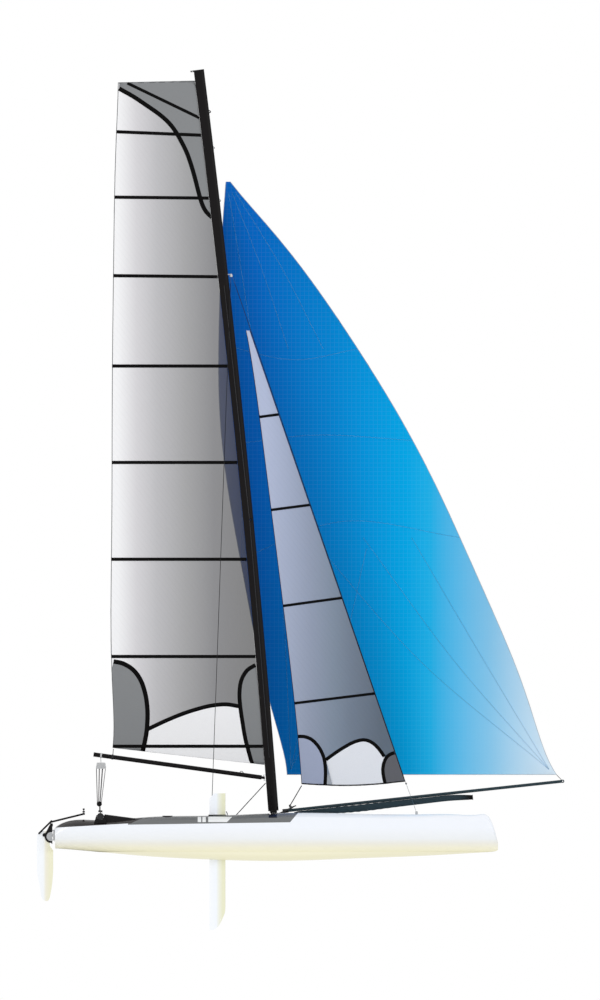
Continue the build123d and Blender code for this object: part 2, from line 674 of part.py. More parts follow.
def tack_strop():
    """The short strop that holds the gennaker's tack over the pole's end."""
    nose = pole_point(POLE_TIP[0] - 32)
    height, luff_x, luff_y = GENNAKER[0][:3]
    strop = rod(tuple(nose), (luff_x - 6, luff_y, height + 4), STROP_RADIUS)
    return largest(strop - bow_pole() - gennaker())


def pole_heel():
    """The bracket that holds the pole's butt on the front beam."""
    butt = pole_point(POLE_BUTT[0])
    socket = rod(tuple(butt - POLE_WAY * 30), tuple(butt + POLE_WAY * 50), POLE_RADIUS + 7)
    socket -= rod(tuple(butt - POLE_WAY * 0.3), tuple(butt + POLE_WAY * 60), POLE_RADIUS + SEAT)
    web = block((FRONT_BEAM_X, butt.X - 22), (-9, 9), (FRONT_BEAM_Z - 18, butt.Z - POLE_RADIUS - 4))
    web -= beam_tube(FRONT_BEAM_X, FRONT_BEAM_Z, FRONT_BEAM_RADIUS + SEAT, 60)
    web -= mast_step_room()
    return socket + web


def mast_step_room():
    return block((FRONT_BEAM_X - 60, FRONT_BEAM_X + 42), (-60, 60), (FRONT_BEAM_Z, FRONT_BEAM_Z + 200))


SOCK_DROP = POLE_RADIUS + SOCK_RADIUS + SEAT


def sock_ring_plane(x, drop, radius):
    centre = pole_point(x, -drop)
    return Plane(origin=centre, x_dir=(0, 1, 0), z_dir=POLE_WAY) * Circle(radius)


def gennaker_sock():
    """The fabric sleeve slung under the pole, open at its front end."""
    tail_drop = POLE_RADIUS + SOCK_TAIL_RADIUS + SEAT
    rings = [(SOCK_START_X, tail_drop, SOCK_TAIL_RADIUS),
             (SOCK_START_X + 560, SOCK_DROP - 3, SOCK_RADIUS - 3),
             (SOCK_START_X + 1300, SOCK_DROP, SOCK_RADIUS),
             (SOCK_MOUTH_X, SOCK_DROP, SOCK_RADIUS)]
    shape = loft([sock_ring_plane(*ring) for ring in rings])
    mouth = extrude(sock_ring_plane(SOCK_MOUTH_X + 5, SOCK_DROP, SOCK_MOUTH_BORE), amount=-SOCK_MOUTH_DEPTH)
    return shape - mouth


def sock_ring():
    centre = pole_point(SOCK_MOUTH_X, -SOCK_DROP) + POLE_WAY * (RING_RADIUS + SEAT)
    plane = Plane(origin=centre, x_dir=(0, 1, 0), z_dir=POLE_WAY)
    return plane.location * Torus(SOCK_RADIUS - RING_RADIUS, RING_RADIUS)


def jib_track_arc(width, height, sweep_angle):
    """A rail bent round the forestay's line, square to it."""
    up = (TANG - FORESTAY_END).normalized()
    centre = Vector(JIB_TRACK_X, 0, JIB_TRACK_Z)
    foot = FORESTAY_END + up * (centre - FORESTAY_END).dot(up)
    radius = (centre - foot).length
    outward = (centre - foot).normalized()
    plane = Plane(origin=foot, x_dir=outward, z_dir=up)
    ring = Circle(radius + width / 2) - Circle(radius - width / 2)
    spread = 2 * radius * tan(radians(sweep_angle))
    wedge = make_face(Polyline((0, 0), (2 * radius, -spread), (2 * radius, spread), close=True))
    return extrude(plane.offset(-height / 2) * (ring & wedge), amount=height)


def jib_track():
    rail = jib_track_arc(JIB_TRACK_WIDTH, JIB_TRACK_HEIGHT, JIB_TRACK_SWEEP)
    shape = rail
    for side in SIDES.values():
        foot = (FRONT_BEAM_X + 20, side * 330, FRONT_BEAM_Z + 20)
        shape += rod(foot, (JIB_TRACK_X + 36, side * 330, JIB_TRACK_Z + 8), 11)
    return shape - beam_tube(FRONT_BEAM_X, FRONT_BEAM_Z, FRONT_BEAM_RADIUS + SEAT, 500)


def jib_sheet_car():
    up = (TANG - FORESTAY_END).normalized()
    centre = Vector(JIB_TRACK_X, 0, JIB_TRACK_Z)
    plane = Plane(origin=centre, x_dir=(0, 1, 0), z_dir=up)
    low = plane.offset(JIB_TRACK_HEIGHT / 2 + SEAT)
    plate = extrude(low * RectangleRounded(70, 40, 8), amount=12)
    eye = Pos(*(centre + up * (JIB_TRACK_HEIGHT / 2 + 22))) * Sphere(14)
    return plate + eye


# ---------------------------------------------------------------- rudders
def gudgeons(side):
    """One casting on the transom: a flange, two arms with the pintle's holes and a web between."""
    low, high = GUDGEON_HEIGHTS
    half = GUDGEON_THICK / 2
    shape = block((TRANSOM_X - 6, TRANSOM_X - SEAT), (-26, 26), (low - 25, high + 25))
    shape += block((PINTLE_X + EYE_RADIUS, TRANSOM_X - 3), (-4, 4), (low, high))
    for z in GUDGEON_HEIGHTS:
        shape += block((PINTLE_X, TRANSOM_X - 3), (-9, 9), (z - half, z + half))
        shape += Pos(PINTLE_X, 0, z) * Cylinder(14, GUDGEON_THICK)
    shape -= Pos(PINTLE_X, 0, (low + high) / 2) * Cylinder(PINTLE_RADIUS + SEAT, high - low + 3 * GUDGEON_THICK)
    return Pos(0, side * HULL_Y, 0) * shape


def cheek_strut(width):
    """The straight bar from the tiller back over the blade's top."""
    return side_bar((PINTLE_X - STRUT_REACH, KICK_Z + 22), (PINTLE_X - 6, TILLER_HEAD_Z + 12), width)


def rudder_cheek(y, way):
    """A cheek plate: a round rim, a leg up to the tiller, a strut aft and a pocket in its face."""
    ahead = Pos(PINTLE_X + 205, KICK_Z) * Rectangle(400, 900)
    middle = Pos(PINTLE_X - 13, KICK_Z - 22)
    leg = Polyline((PINTLE_X - 92, KICK_Z + 20), (PINTLE_X - 20, TILLER_HEAD_Z - 20),
                   (PINTLE_X + 5, TILLER_HEAD_Z - 20), (PINTLE_X + 5, KICK_Z + 20), close=True)
    rim = middle * Circle(BEND_RADIUS_HEAD + RIM_WIDTH / 2) + make_face(leg)
    boss = Pos(KICK_X, KICK_Z) * Circle(26)
    plate = side_cut((rim + cheek_strut(STRUT_WIDTH) + boss) - ahead, y, CHEEK_THICK)
    pocket = middle * Circle(BEND_RADIUS_HEAD - RIM_WIDTH / 2) - Pos(-RIM_WIDTH, 0) * ahead
    pocket -= Pos(KICK_X, KICK_Z) * Circle(30)
    face = y + way * CHEEK_THICK / 2
    return plate - side_cut(pocket, face, 2 * POCKET_DEPTH)


def rudder_head(side):
    """Two cheeks round the blade, the pintle in front and the tiller arm on top."""
    gap = BLADE_THICK / 2 + 3
    low, top = KICK_Z - 117, TILLER_HEAD_Z + 10
    shape = None
    for way in (-1, 1):
        cheek = rudder_cheek(way * (gap + CHEEK_THICK / 2), way)
        shape = cheek if shape is None else shape + cheek
    shape += block((PINTLE_X - 26, PINTLE_X - 14), (-gap - 1, gap + 1), (low + 15, top))
    for z in (KICK_Z - 3, TILLER_HEAD_Z - 43):
        knuckle = Pos(PINTLE_X, 0, z) * Cylinder(13, 40)
        knuckle += block((PINTLE_X - 16, PINTLE_X), (-12, 12), (z - 20, z + 20))
        shape += knuckle
    shape += rod((PINTLE_X, 0, low - 6), (PINTLE_X, 0, TILLER_HEAD_Z - 23), PINTLE_RADIUS)
    shape += rod((PINTLE_X - 14, 0, TILLER_HEAD_Z - 2), (TILLER_FRONT_X, 0, TILLER_FRONT_Z), TILLER_RADIUS)
    shape += Pos(TILLER_FRONT_X, 0, TILLER_FRONT_Z) * Cylinder(EYE_RADIUS, 2 * TILLER_RADIUS)
    shape += rod((TILLER_FRONT_X, 0, TILLER_FRONT_Z), (TILLER_FRONT_X, 0, TILLER_FRONT_Z + CROSSBAR_LIFT + 18), EYE_PIN)
    bolt = gap + CHEEK_THICK + 5
    shape += rod((KICK_X, -bolt, KICK_Z), (KICK_X, bolt, KICK_Z), KICK_BOLT)
    return Pos(0, side * HULL_Y, 0) * shape


def rudder_blade(side):
    aft, fore = PINTLE_X - BLADE_AFT, PINTLE_X + BLADE_FORE
    chord = fore - aft
    top = KICK_Z + 56
    neck = PINTLE_X - 32
    widest = -0.31 * BLADE_DEPTH
    outline = Curve() + [
        Polyline((aft, widest), (aft, KICK_Z), (KICK_X - 40, top), (KICK_X + 25, top), (neck, KICK_Z + 20),
                 (neck, 92), (fore, 20), (fore, widest)),
        Spline((fore, widest), (fore - 0.045 * chord, -0.59 * BLADE_DEPTH),
               (fore - 0.17 * chord, -0.86 * BLADE_DEPTH), (fore - 0.39 * chord, -BLADE_DEPTH),
               (fore - 0.59 * chord, -0.98 * BLADE_DEPTH), (aft + 0.21 * chord, -0.78 * BLADE_DEPTH),
               (aft, widest), tangents=[(0, -1), (0, 1)]),
    ]
    face = Plane(origin=(0, BLADE_THICK, 0), x_dir=(1, 0, 0), z_dir=(0, -1, 0)) * make_face(outline)
    profile = extrude(face, amount=2 * BLADE_THICK)
    plane = Plane(origin=((fore + aft) / 2, 0, -1.2 * BLADE_DEPTH), x_dir=(1, 0, 0), z_dir=(0, 0, 1))
    body = extrude(plane * foil(chord, BLADE_THICK, 4), amount=1.2 * BLADE_DEPTH + top + 20)
    hole = extrude(at_beam(KICK_X, -50, KICK_Z) * Circle(KICK_BOLT + SEAT), amount=100)
    return Pos(0, side * HULL_Y, 0) * ((profile & body) - hole)


def crossbar():
    z = TILLER_FRONT_Z + CROSSBAR_LIFT
    bar = rod((TILLER_FRONT_X, -HULL_Y + EYE_RADIUS - 3, z), (TILLER_FRONT_X, HULL_Y - EYE_RADIUS + 3, z), CROSSBAR_RADIUS)
    for side in SIDES.values():
        gap = SEAT if side < 0 else 1.5
        bar += Pos(TILLER_FRONT_X, side * HULL_Y, z) * Cylinder(EYE_RADIUS, 20)
        bar -= Pos(TILLER_FRONT_X, side * HULL_Y, z) * Cylinder(EYE_PIN + gap, 60)
    bar += rod((TILLER_FRONT_X, 0, z), (TILLER_FRONT_X, 0, z + EXTENSION_LIFT + 14), 5)
    return bar


def tiller_extension():
    z = TILLER_FRONT_Z + CROSSBAR_LIFT + EXTENSION_LIFT
    stick = rod((TILLER_FRONT_X, 10, z), (TILLER_FRONT_X, EXTENSION_LENGTH, z), EXTENSION_RADIUS)
    grip = rod((TILLER_FRONT_X, EXTENSION_LENGTH - 160, z), (TILLER_FRONT_X, EXTENSION_LENGTH, z), EXTENSION_RADIUS + 4)
    knuckle = Pos(TILLER_FRONT_X, 0, z) * Cylinder(14, 20)
    return stick + grip + knuckle - Pos(TILLER_FRONT_X, 0, z) * Cylinder(5 + SEAT, 80)


# ---------------------------------------------------------------- daggerboards
def board_collar(side, whole_hull):
    low = COLLAR_TOP - 60
    ring = board_slot(COLLAR_MARGIN, low, COLLAR_TOP) - board_slot(TRUNK_GAP, low - 1, COLLAR_TOP + 1)
    shape = (ring - whole_hull).solids().sort_by(Axis.Z)[-1]
    return Pos(0, side * HULL_Y, 0) * shape


def daggerboard(side):
    body = board_slot(0, BOARD_TIP, BOARD_TOP)
    aft, fore = BOARD_X - BOARD_CHORD / 2 - 1, BOARD_X + BOARD_CHORD / 2 + 1
    outline = Curve() + [
        Polyline((fore, BOARD_TIP + BOARD_TIP_HEIGHT), (fore, BOARD_TOP), (aft + 66, BOARD_TOP), (aft, BOARD_TOP - 72),
                 (aft, BOARD_TIP)),
        Spline((aft, BOARD_TIP), (BOARD_X + 15, BOARD_TIP + 62), (fore - 26, BOARD_TIP + 200),
               (fore, BOARD_TIP + BOARD_TIP_HEIGHT), tangents=[(1, 0.05), (0, 1)]),
    ]
    face = Plane(origin=(0, 60, 0), x_dir=(1, 0, 0), z_dir=(0, -1, 0)) * make_face(outline)
    shape = body & extrude(face, amount=120)
    ledge = block((BOARD_X - 40, BOARD_X + 60), (-BOARD_THICK / 2 - 8, BOARD_THICK / 2 + 8),
                  (COLLAR_TOP + SEAT, COLLAR_TOP + SEAT + STOP_HEIGHT))
    return Pos(0, side * HULL_Y, 0) * (shape + ledge)


def hatch_cover(side, whole_hull):
    """A round screw cap, set into the deck, with a low rim."""
    deck = deck_height(whole_hull, HATCH_X, 0)
    cap = Pos(HATCH_X, 0, deck - 24) * Cylinder(HATCH_RADIUS, 60)
    shape = (cap - whole_hull).solids().sort_by(SortBy.VOLUME)[-1]
    return Pos(0, side * HULL_Y, 0) * shape


# ---------------------------------------------------------------- the boat
def main():
    os.makedirs("parts", exist_ok=True)
    whole = bare_hull()
    mast_shape = mast()
    for name, side in SIDES.items():
        save(f"hull_{name}", Pos(0, side * HULL_Y, 0) * hull(side))
        save(f"daggerboard_{name}", daggerboard(side))
        save(f"gudgeons_{name}", gudgeons(side))
        save(f"rudder_head_{name}", rudder_head(side))
        save(f"rudder_blade_{name}", rudder_blade(side))
        save(f"shroud_{name}", shroud(side, whole))
    save("front_beam", beam_tube(FRONT_BEAM_X, FRONT_BEAM_Z, FRONT_BEAM_RADIUS, FRONT_BEAM_HALF))
    save("rear_beam", beam_tube(REAR_BEAM_X, REAR_BEAM_Z, REAR_BEAM_RADIUS, REAR_BEAM_HALF))
    save("rear_beam_saddles", both_sides(lambda side: rear_saddle(side, whole)))
    save("board_collars", both_sides(lambda side: board_collar(side, whole)))
    save("hatch_covers", both_sides(lambda side: hatch_cover(side, whole)))
    save("chainplates", both_sides(lambda side: deck_plate(side, whole, CHAINPLATE_X, CHAINPLATE_INSET)))
    save("bridle_plates", both_sides(lambda side: deck_plate(side, whole, BRIDLE_X, BRIDLE_INSET)))
    save("mast_step", mast_step())
    save("dolphin_striker", dolphin_striker())
    save("trampoline", trampoline())
    save("traveller_track", traveller_track())
    save("traveller_car", traveller_car())
    save("mainsheet_lower_block", block_at(MAINSHEET_X, LOWER_BLOCK_Z))
    save("mast", mast_shape)
    save("masthead_crane", masthead_crane())
    save("stay_collar", stay_collar())
    save("hounds_tang", hounds_tang(mast_shape))
    save("spreaders", spreaders(mast_shape))
    save("gooseneck", gooseneck(mast_shape))
    save("boom", boom())
    save("outhaul_strap", outhaul_strap())
    save("mainsheet_upper_block", mainsheet_upper_block())
    save("mainsail", mainsail())
    save("jib", jib())
    save("gennaker", gennaker())
    save("forestay", forestay())
    save("bridle", bridle(whole))
    save("bow_pole", bow_pole())
    save("pole_heel", pole_heel())
    save("tack_strop", tack_strop())
    save("gennaker_sock", gennaker_sock())
    save("sock_ring", sock_ring())
    save("jib_track", jib_track())
    save("jib_sheet_car", jib_sheet_car())
    save("crossbar", crossbar())
    save("tiller_extension", tiller_extension())


main()
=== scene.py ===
# %% [markdown]
# # A racing catamaran, dressed for rendering
#
# The boat's solids come from the CAD model and are never moved. Here they get their real
# finishes, and the thin things that a solid shows badly are made again as what they are:
# film sails with battens and tapes, a laced mesh trampoline, a cloth sock and the light
# rigging. Everything is in metres: X towards the bow, Y to port, Z up from the waterline.

# %% Load the frame
import math

import bmesh
import bpy
import numpy as np
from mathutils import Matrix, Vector
from mathutils.bvhtree import BVHTree


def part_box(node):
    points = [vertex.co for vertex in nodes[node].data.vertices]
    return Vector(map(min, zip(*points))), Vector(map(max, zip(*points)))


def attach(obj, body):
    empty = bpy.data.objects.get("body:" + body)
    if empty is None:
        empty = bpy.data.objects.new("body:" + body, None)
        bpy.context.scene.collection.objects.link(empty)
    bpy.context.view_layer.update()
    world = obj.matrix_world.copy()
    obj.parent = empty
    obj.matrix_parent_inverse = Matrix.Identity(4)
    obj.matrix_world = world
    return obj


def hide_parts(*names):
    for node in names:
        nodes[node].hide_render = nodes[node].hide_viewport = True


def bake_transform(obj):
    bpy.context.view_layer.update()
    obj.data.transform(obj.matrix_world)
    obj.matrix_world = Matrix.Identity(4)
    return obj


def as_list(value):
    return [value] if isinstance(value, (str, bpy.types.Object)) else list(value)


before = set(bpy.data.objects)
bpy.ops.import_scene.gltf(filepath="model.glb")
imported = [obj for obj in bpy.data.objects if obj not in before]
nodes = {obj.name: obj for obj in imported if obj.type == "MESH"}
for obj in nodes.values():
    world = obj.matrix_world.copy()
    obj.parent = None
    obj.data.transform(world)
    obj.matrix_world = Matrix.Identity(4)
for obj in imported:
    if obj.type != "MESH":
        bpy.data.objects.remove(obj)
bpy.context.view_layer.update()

# %% [markdown]
# ## The camera
#
# A sail plan is drawn square on, with no perspective, so that lengths can be read from it.
# An orthographic camera does the same: its scale is simply the height of the view in metres.
# It stands off the starboard side, level, and looks straight to port.

# %% Camera
VIEW_HEIGHT = 13.77
VIEW_CENTRE = (0.3236, 4.847)

scene = bpy.context.scene
lens = bpy.data.cameras.new("side_view")
lens.type = "ORTHO"
lens.ortho_scale = VIEW_HEIGHT
lens.clip_end = 200
camera = bpy.data.objects.new("side_view", lens)
camera.location = (VIEW_CENTRE[0], -30, VIEW_CENTRE[1])
camera.rotation_euler = (math.radians(90), 0, 0)
scene.collection.objects.link(camera)
scene.camera = camera
scene.view_settings.view_transform = "Standard"
print("the view is", VIEW_HEIGHT, "m high")

# %% [markdown]
# ## Colour and node helpers
#
# Paint makers give colours as sRGB hex codes, but the renderer adds light, which needs linear
# values, so one function turns the codes. A second one adds a node with its settings and its
# links in one line, which keeps each recipe below short enough to read at a glance.


# %% Helpers for materials
def linear(code, alpha=1.0):
    """An sRGB hex colour as the linear values that light is added in."""
    parts = [int(code[i:i + 2], 16) / 255 for i in (0, 2, 4)]
    lit = [c / 12.92 if c <= 0.04045 else ((c + 0.055) / 1.055) ** 2.4 for c in parts]
    return (*lit, alpha)


def add(tree, kind, sockets=None, **settings):
    """Add a node; a socket's value is a constant or the output that it is linked to."""
    node = tree.nodes.new("ShaderNode" + kind)
    for name, value in settings.items():
        setattr(node, name, value)
    for name, value in (sockets or {}).items():
        if isinstance(value, bpy.types.NodeSocket):
            tree.links.new(value, node.inputs[name])
        else:
            node.inputs[name].default_value = value
    return node


def new_finish(name, **values):
    """A material with its node tree and its one Principled shader."""
    material = bpy.data.materials.new(name)
    material.use_nodes = True
    tree = material.node_tree
    shader = tree.nodes["Principled BSDF"]
    for socket, value in values.items():
        shader.inputs[socket.replace("_", " ")].default_value = value
    return material, tree, shader


def fade(tree, distance, stops):
    """A colour that changes along a distance in metres, through a few named stops."""
    first, last = stops[0][0], stops[-1][0]
    share = add(tree, "MapRange", {0: distance, 1: first, 2: last})
    ramp = add(tree, "ValToRGB", {0: share.outputs[0]})
    bands = ramp.color_ramp.elements
    while len(bands) < len(stops):
        bands.new(0.5)
    for band in bands:
        band.position = 0.0
    for band, (place, _) in zip(list(bands)[::-1], stops[::-1]):
        band.position = (place - first) / (last - first)
    for band, (_, code) in zip(bands, stops):
        band.color = linear(code)
    return ramp.outputs[0]


def dress(material, *names):
    """Give CAD nodes a finish in every slot that they have."""
    for name in names:
        for slot in nodes[name].material_slots:
            slot.material = material


print("helpers ready")

# %% [markdown]
# ## Light and water level
#
# Soft daylight from all round shows colours as they are written, and broad suns give the
# curved surfaces some shape; a weak one from below lifts the hulls' undersides. The floor is
# the water's level, where the hulls float; it casts no shadow, so that the foils below it are
# lit as well as the sails above.

# %% Light
world = bpy.data.worlds.new("studio")
world.use_nodes = True
scene.world = world
sky = world.node_tree
sky.nodes.clear()
ray = add(sky, "LightPath")
seen = add(sky, "Math", {0: ray.outputs["Is Camera Ray"], 1: ray.outputs["Is Glossy Ray"]},
           operation="MAXIMUM")
seen = add(sky, "Math", {0: seen.outputs[0], 1: ray.outputs["Is Transmission Ray"]},
           operation="MAXIMUM")
soft = add(sky, "Background", {"Color": (1, 1, 1, 1), "Strength": 0.80})
white = add(sky, "Background", {"Color": (1, 1, 1, 1), "Strength": 1.0})
both = add(sky, "MixShader", {0: seen.outputs[0], 1: soft.outputs[0], 2: white.outputs[0]})
add(sky, "OutputWorld", {"Surface": both.outputs[0]})


def sun(name, strength, bearing, height, spread):
    """A broad sun; bearing is degrees round from the starboard side towards the bow."""
    lamp = bpy.data.lights.new(name, "SUN")
    lamp.energy = strength
    lamp.angle = math.radians(spread)
    holder = bpy.data.objects.new(name, lamp)
    b, h = math.radians(bearing), math.radians(height)
    towards = Vector((math.sin(b) * math.cos(h), -math.cos(b) * math.cos(h), math.sin(h)))
    holder.rotation_euler = towards.to_track_quat("Z", "Y").to_euler()
    scene.collection.objects.link(holder)


sun("key_sun", 0.50, -35, 42, 25)
sun("fill_sun", 0.25, 40, 15, 40)
sun("low_fill", 0.42, 0, -40, 60)

floor_mesh = bmesh.new()
bmesh.ops.create_grid(floor_mesh, x_segments=1, y_segments=1, size=60)
floor_data = bpy.data.meshes.new("water_level")
floor_mesh.to_mesh(floor_data)
floor_mesh.free()
floor = bpy.data.objects.new("water_level", floor_data)
floor.visible_shadow = False
scene.collection.objects.link(floor)
floor_data.materials.append(
    new_finish("pale floor", Base_Color=linear("F1F2F3"), Roughness=0.9)[0])
print("floor at the waterline, three suns")

# %% [markdown]
# ## Gelcoat
#
# The hulls are laminated in a mould against gelcoat, a thick polyester paint. It gives a
# smooth, hard gloss with a faint ripple from the mould. The white colour is painted cooler and
# lighter on the topsides as a painted highlight and cream along the rounded bottom as painted
# shade, and the deck has a black area aft, a grey band amidships and a black pad beside the
# mast's foot. These zones are bounded by lines in the side view, so each is a comparison
# between a point's height and a sloping line.

# %% Hull gelcoat
gelcoat, tree, shader = new_finish(
    "moulded gelcoat", Roughness=0.22, IOR=1.5, Specular_IOR_Level=0.35, Coat_Weight=0.2)
place = add(tree, "TexCoord").outputs["Object"]
axes = add(tree, "SeparateXYZ", {0: place})
# Painted light and shade: white gelcoat with a cool painted highlight on the topsides, fading to cream
# painted shade along the rounded bottom.
HULL_HIGHLIGHT_AND_SHADE_FADE = [(-0.05, "F1EDCE"), (0.06, "EFEBD4"), (0.12, "EBE9DF"), (0.18, "EDEFF0"), (0.34, "F1F4FA")]
hull_colour = fade(tree, axes.outputs[2], HULL_HIGHLIGHT_AND_SHADE_FADE)


def above(tree, axes, start, end):
    """1 where a point lies above the line through two points of the side view."""
    slope = (end[1] - start[1]) / (end[0] - start[0])
    line = add(tree, "Math", {0: axes.outputs[0], 1: slope, 2: start[1] - slope * start[0]},
               operation="MULTIPLY_ADD")
    return add(tree, "Math", {0: axes.outputs[2], 1: line.outputs[0]},
               operation="GREATER_THAN").outputs[0]


def overlap(tree, *masks):
    """1 only where all the masks are."""
    whole = masks[0]
    for mask in masks[1:]:
        whole = add(tree, "Math", {0: whole, 1: mask}, operation="MULTIPLY").outputs[0]
    return whole


def between(tree, axes, near, far):
    """1 between two distances along the boat."""
    middle, half = (near + far) / 2, abs(far - near) / 2
    return add(tree, "Math", {0: axes.outputs[0], 1: middle, 2: half}, operation="COMPARE").outputs[0]


def paint(tree, colour, mask, code):
    """The colour, covered with another where the mask is 1."""
    return add(tree, "Mix", {0: mask, 6: colour, 7: linear(code)}, data_type="RGBA").outputs[2]


band_low = above(tree, axes, (-2.045, 0.376), (0.186, 0.409))
band_fore = above(tree, axes, (0.186, 0.409), (0.296, 0.537))
grey_band = overlap(tree, band_low, band_fore, between(tree, axes, -2.045, 0.60))
black_low = above(tree, axes, (-3.046, 0.335), (-2.30, 0.378))
black_fore = above(tree, axes, (-2.045, 0.376), (-1.70, 0.537))
black_deck = overlap(tree, black_low, black_fore, between(tree, axes, -3.10, -1.60))
hull_colour = paint(tree, hull_colour, grey_band, "6B6D6E")
hull_colour = paint(tree, hull_colour, black_deck, "231F20")
patch_low = above(tree, axes, (-1.09, 0.412), (-0.66, 0.412))
patch_top = add(tree, "Math", {0: axes.outputs[2], 1: 0.484}, operation="LESS_THAN").outputs[0]
slant = above(tree, axes, (-0.682, 0.413), (-0.613, 0.482))
for near, far in ((-1.085, -1.037), (-1.020, -0.973), (-0.940, -0.60)):
    patch = overlap(tree, between(tree, axes, near, far), patch_low, patch_top)
    if far > -0.9:
        patch = overlap(tree, patch, slant)
    hull_colour = paint(tree, hull_colour, patch, "E9EBEC")
pad = overlap(tree, between(tree, axes, -0.108, 0.006),
              above(tree, axes, (-0.108, 0.470), (0.006, 0.470)))
hull_colour = paint(tree, hull_colour, pad, "141213")
tree.links.new(hull_colour, shader.inputs["Base Color"])
ripple = add(tree, "TexNoise", {"Vector": place, "Scale": 1 / 0.060, "Detail": 2.0})
skin = add(tree, "Bump", {"Strength": 0.06, "Distance": 0.001, "Height": ripple.outputs[0]})
tree.links.new(skin.outputs[0], shader.inputs["Normal"])
dress(gelcoat, "hull_starboard", "hull_port")
print("gelcoat with", len(HULL_HIGHLIGHT_AND_SHADE_FADE), "stops")

# %% [markdown]
# The daggerboards and rudder blades are the same gelcoat over a thin foil. Their colour fades
# along the boat from cool white on the trailing part to cream painted shade at the leading
# edge, which stands for the shading of the rounded foil.

# %% Foil gelcoat
# Painted shade: each foil is lighter aft and cream towards its rounded leading edge.
foil_shade_fades = {
    ("daggerboard_starboard", "daggerboard_port"): [
        (-0.92, "F4F7FC"), (-0.83, "F0F4FA"), (-0.795, "ECEDE2"), (-0.74, "E6E6C8")],
    ("rudder_blade_starboard", "rudder_blade_port"): [
        (-3.31, "F4F7FB"), (-3.21, "F0F3F6"), (-3.175, "EBE7D6"), (-3.12, "E9E7CB")],
}
for names, stops in foil_shade_fades.items():
    foil, tree, shader = new_finish(
        "polished foil gelcoat", Roughness=0.18, IOR=1.5, Specular_IOR_Level=0.35, Coat_Weight=0.2)
    place = add(tree, "TexCoord").outputs["Object"]
    axes = add(tree, "SeparateXYZ", {0: place})
    tree.links.new(fade(tree, axes.outputs[0], stops), shader.inputs["Base Color"])
    polish = add(tree, "TexNoise", {"Vector": place, "Scale": 1 / 0.012, "Detail": 3.0})
    skin = add(tree, "Bump", {"Strength": 0.03, "Distance": 0.0005, "Height": polish.outputs[0]})
    tree.links.new(skin.outputs[0], shader.inputs["Normal"])
    dress(foil, *names)
print("foils dressed")

# %% [markdown]
# ## Carbon, plastic and metal
#
# The mast and pole are carbon fibre in epoxy. A twill of 3 mm tows shows faintly through the
# lacquer; two crossed wave bands give the diagonal ribs of a twill, and they only change the
# colour a little. Moulded plastic has a fine spark-eroded grain. Anodised aluminium is
# brushed along the beam before it is dyed, so its noise is stretched across the boat. Each
# rudder head has a bare round pocket in its black cheek, found by its distance from a point.


# %% Carbon
def woven_carbon(name, dark, light, rough, tow):
    material, tree, shader = new_finish(
        name, Roughness=rough, IOR=1.5, Specular_IOR_Level=0.10, Coat_Weight=0.05, Coat_Roughness=0.15)
    place = add(tree, "TexCoord").outputs["Object"]
    turned = add(tree, "Mapping", {"Vector": place, "Rotation": (0.0, math.radians(45), 0.0)})
    warp = add(tree, "TexWave", {"Vector": turned.outputs[0], "Scale": 1 / (tow * 6.28)},
               bands_direction="X")
    weft = add(tree, "TexWave", {"Vector": turned.outputs[0], "Scale": 1 / (tow * 6.28)},
               bands_direction="Z")
    twill = add(tree, "Math", {0: warp.outputs["Fac"], 1: weft.outputs["Fac"]}, operation="MULTIPLY")
    colour = add(tree, "Mix", {0: twill.outputs[0], 6: linear(dark), 7: linear(light)},
                 data_type="RGBA")
    tree.links.new(colour.outputs[2], shader.inputs["Base Color"])
    ribs = add(tree, "Bump", {"Strength": 0.1, "Distance": 0.0003, "Height": twill.outputs[0]})
    tree.links.new(ribs.outputs[0], shader.inputs["Normal"])
    return material


mast_carbon = woven_carbon("lacquered carbon twill", "0C090A", "161314", 0.34, 0.006)
pole_carbon = woven_carbon("satin carbon tube", "25343A", "2E3E45", 0.42, 0.006)
dress(mast_carbon, "mast", "boom", "spreaders", "masthead_crane")
dress(pole_carbon, "bow_pole")

# %% Moulded plastic and cast fittings
plastic, tree, shader = new_finish(
    "moulded black plastic", Base_Color=linear("131213"), Roughness=0.5, IOR=1.5,
    Specular_IOR_Level=0.12)
place = add(tree, "TexCoord").outputs["Object"]
grain = add(tree, "TexNoise", {"Vector": place, "Scale": 1 / 0.0025, "Detail": 2.0})
skin = add(tree, "Bump", {"Strength": 0.15, "Distance": 0.0004, "Height": grain.outputs[0]})
tree.links.new(skin.outputs[0], shader.inputs["Normal"])
dress(plastic, "rear_beam_saddles", "board_collars", "hatch_covers", "mainsheet_lower_block",
      "traveller_car", "jib_sheet_car", "pole_heel", "crossbar", "tiller_extension", "mast_step")

# %% Rudder heads
POCKET_MIDDLE, POCKET_RADIUS = (-3.105, 0, 0.213), 0.0615
head_plastic = plastic.copy()
head_plastic.name = "cast head with bare pocket"
tree = head_plastic.node_tree
place = add(tree, "TexCoord").outputs["Object"]
flat = add(tree, "VectorMath", {0: place, 1: (1, 0, 1)}, operation="MULTIPLY")
away = add(tree, "VectorMath", {0: flat.outputs[0], 1: POCKET_MIDDLE}, operation="DISTANCE")
inside = add(tree, "Math", {0: away.outputs["Value"], 1: POCKET_RADIUS}, operation="LESS_THAN")
bare = add(tree, "Mix", {0: inside.outputs[0], 6: linear("131213"), 7: linear("B4B6B8")},
           data_type="RGBA")
tree.links.new(bare.outputs[2], tree.nodes["Principled BSDF"].inputs["Base Color"])
dress(head_plastic, "rudder_head_starboard", "rudder_head_port")


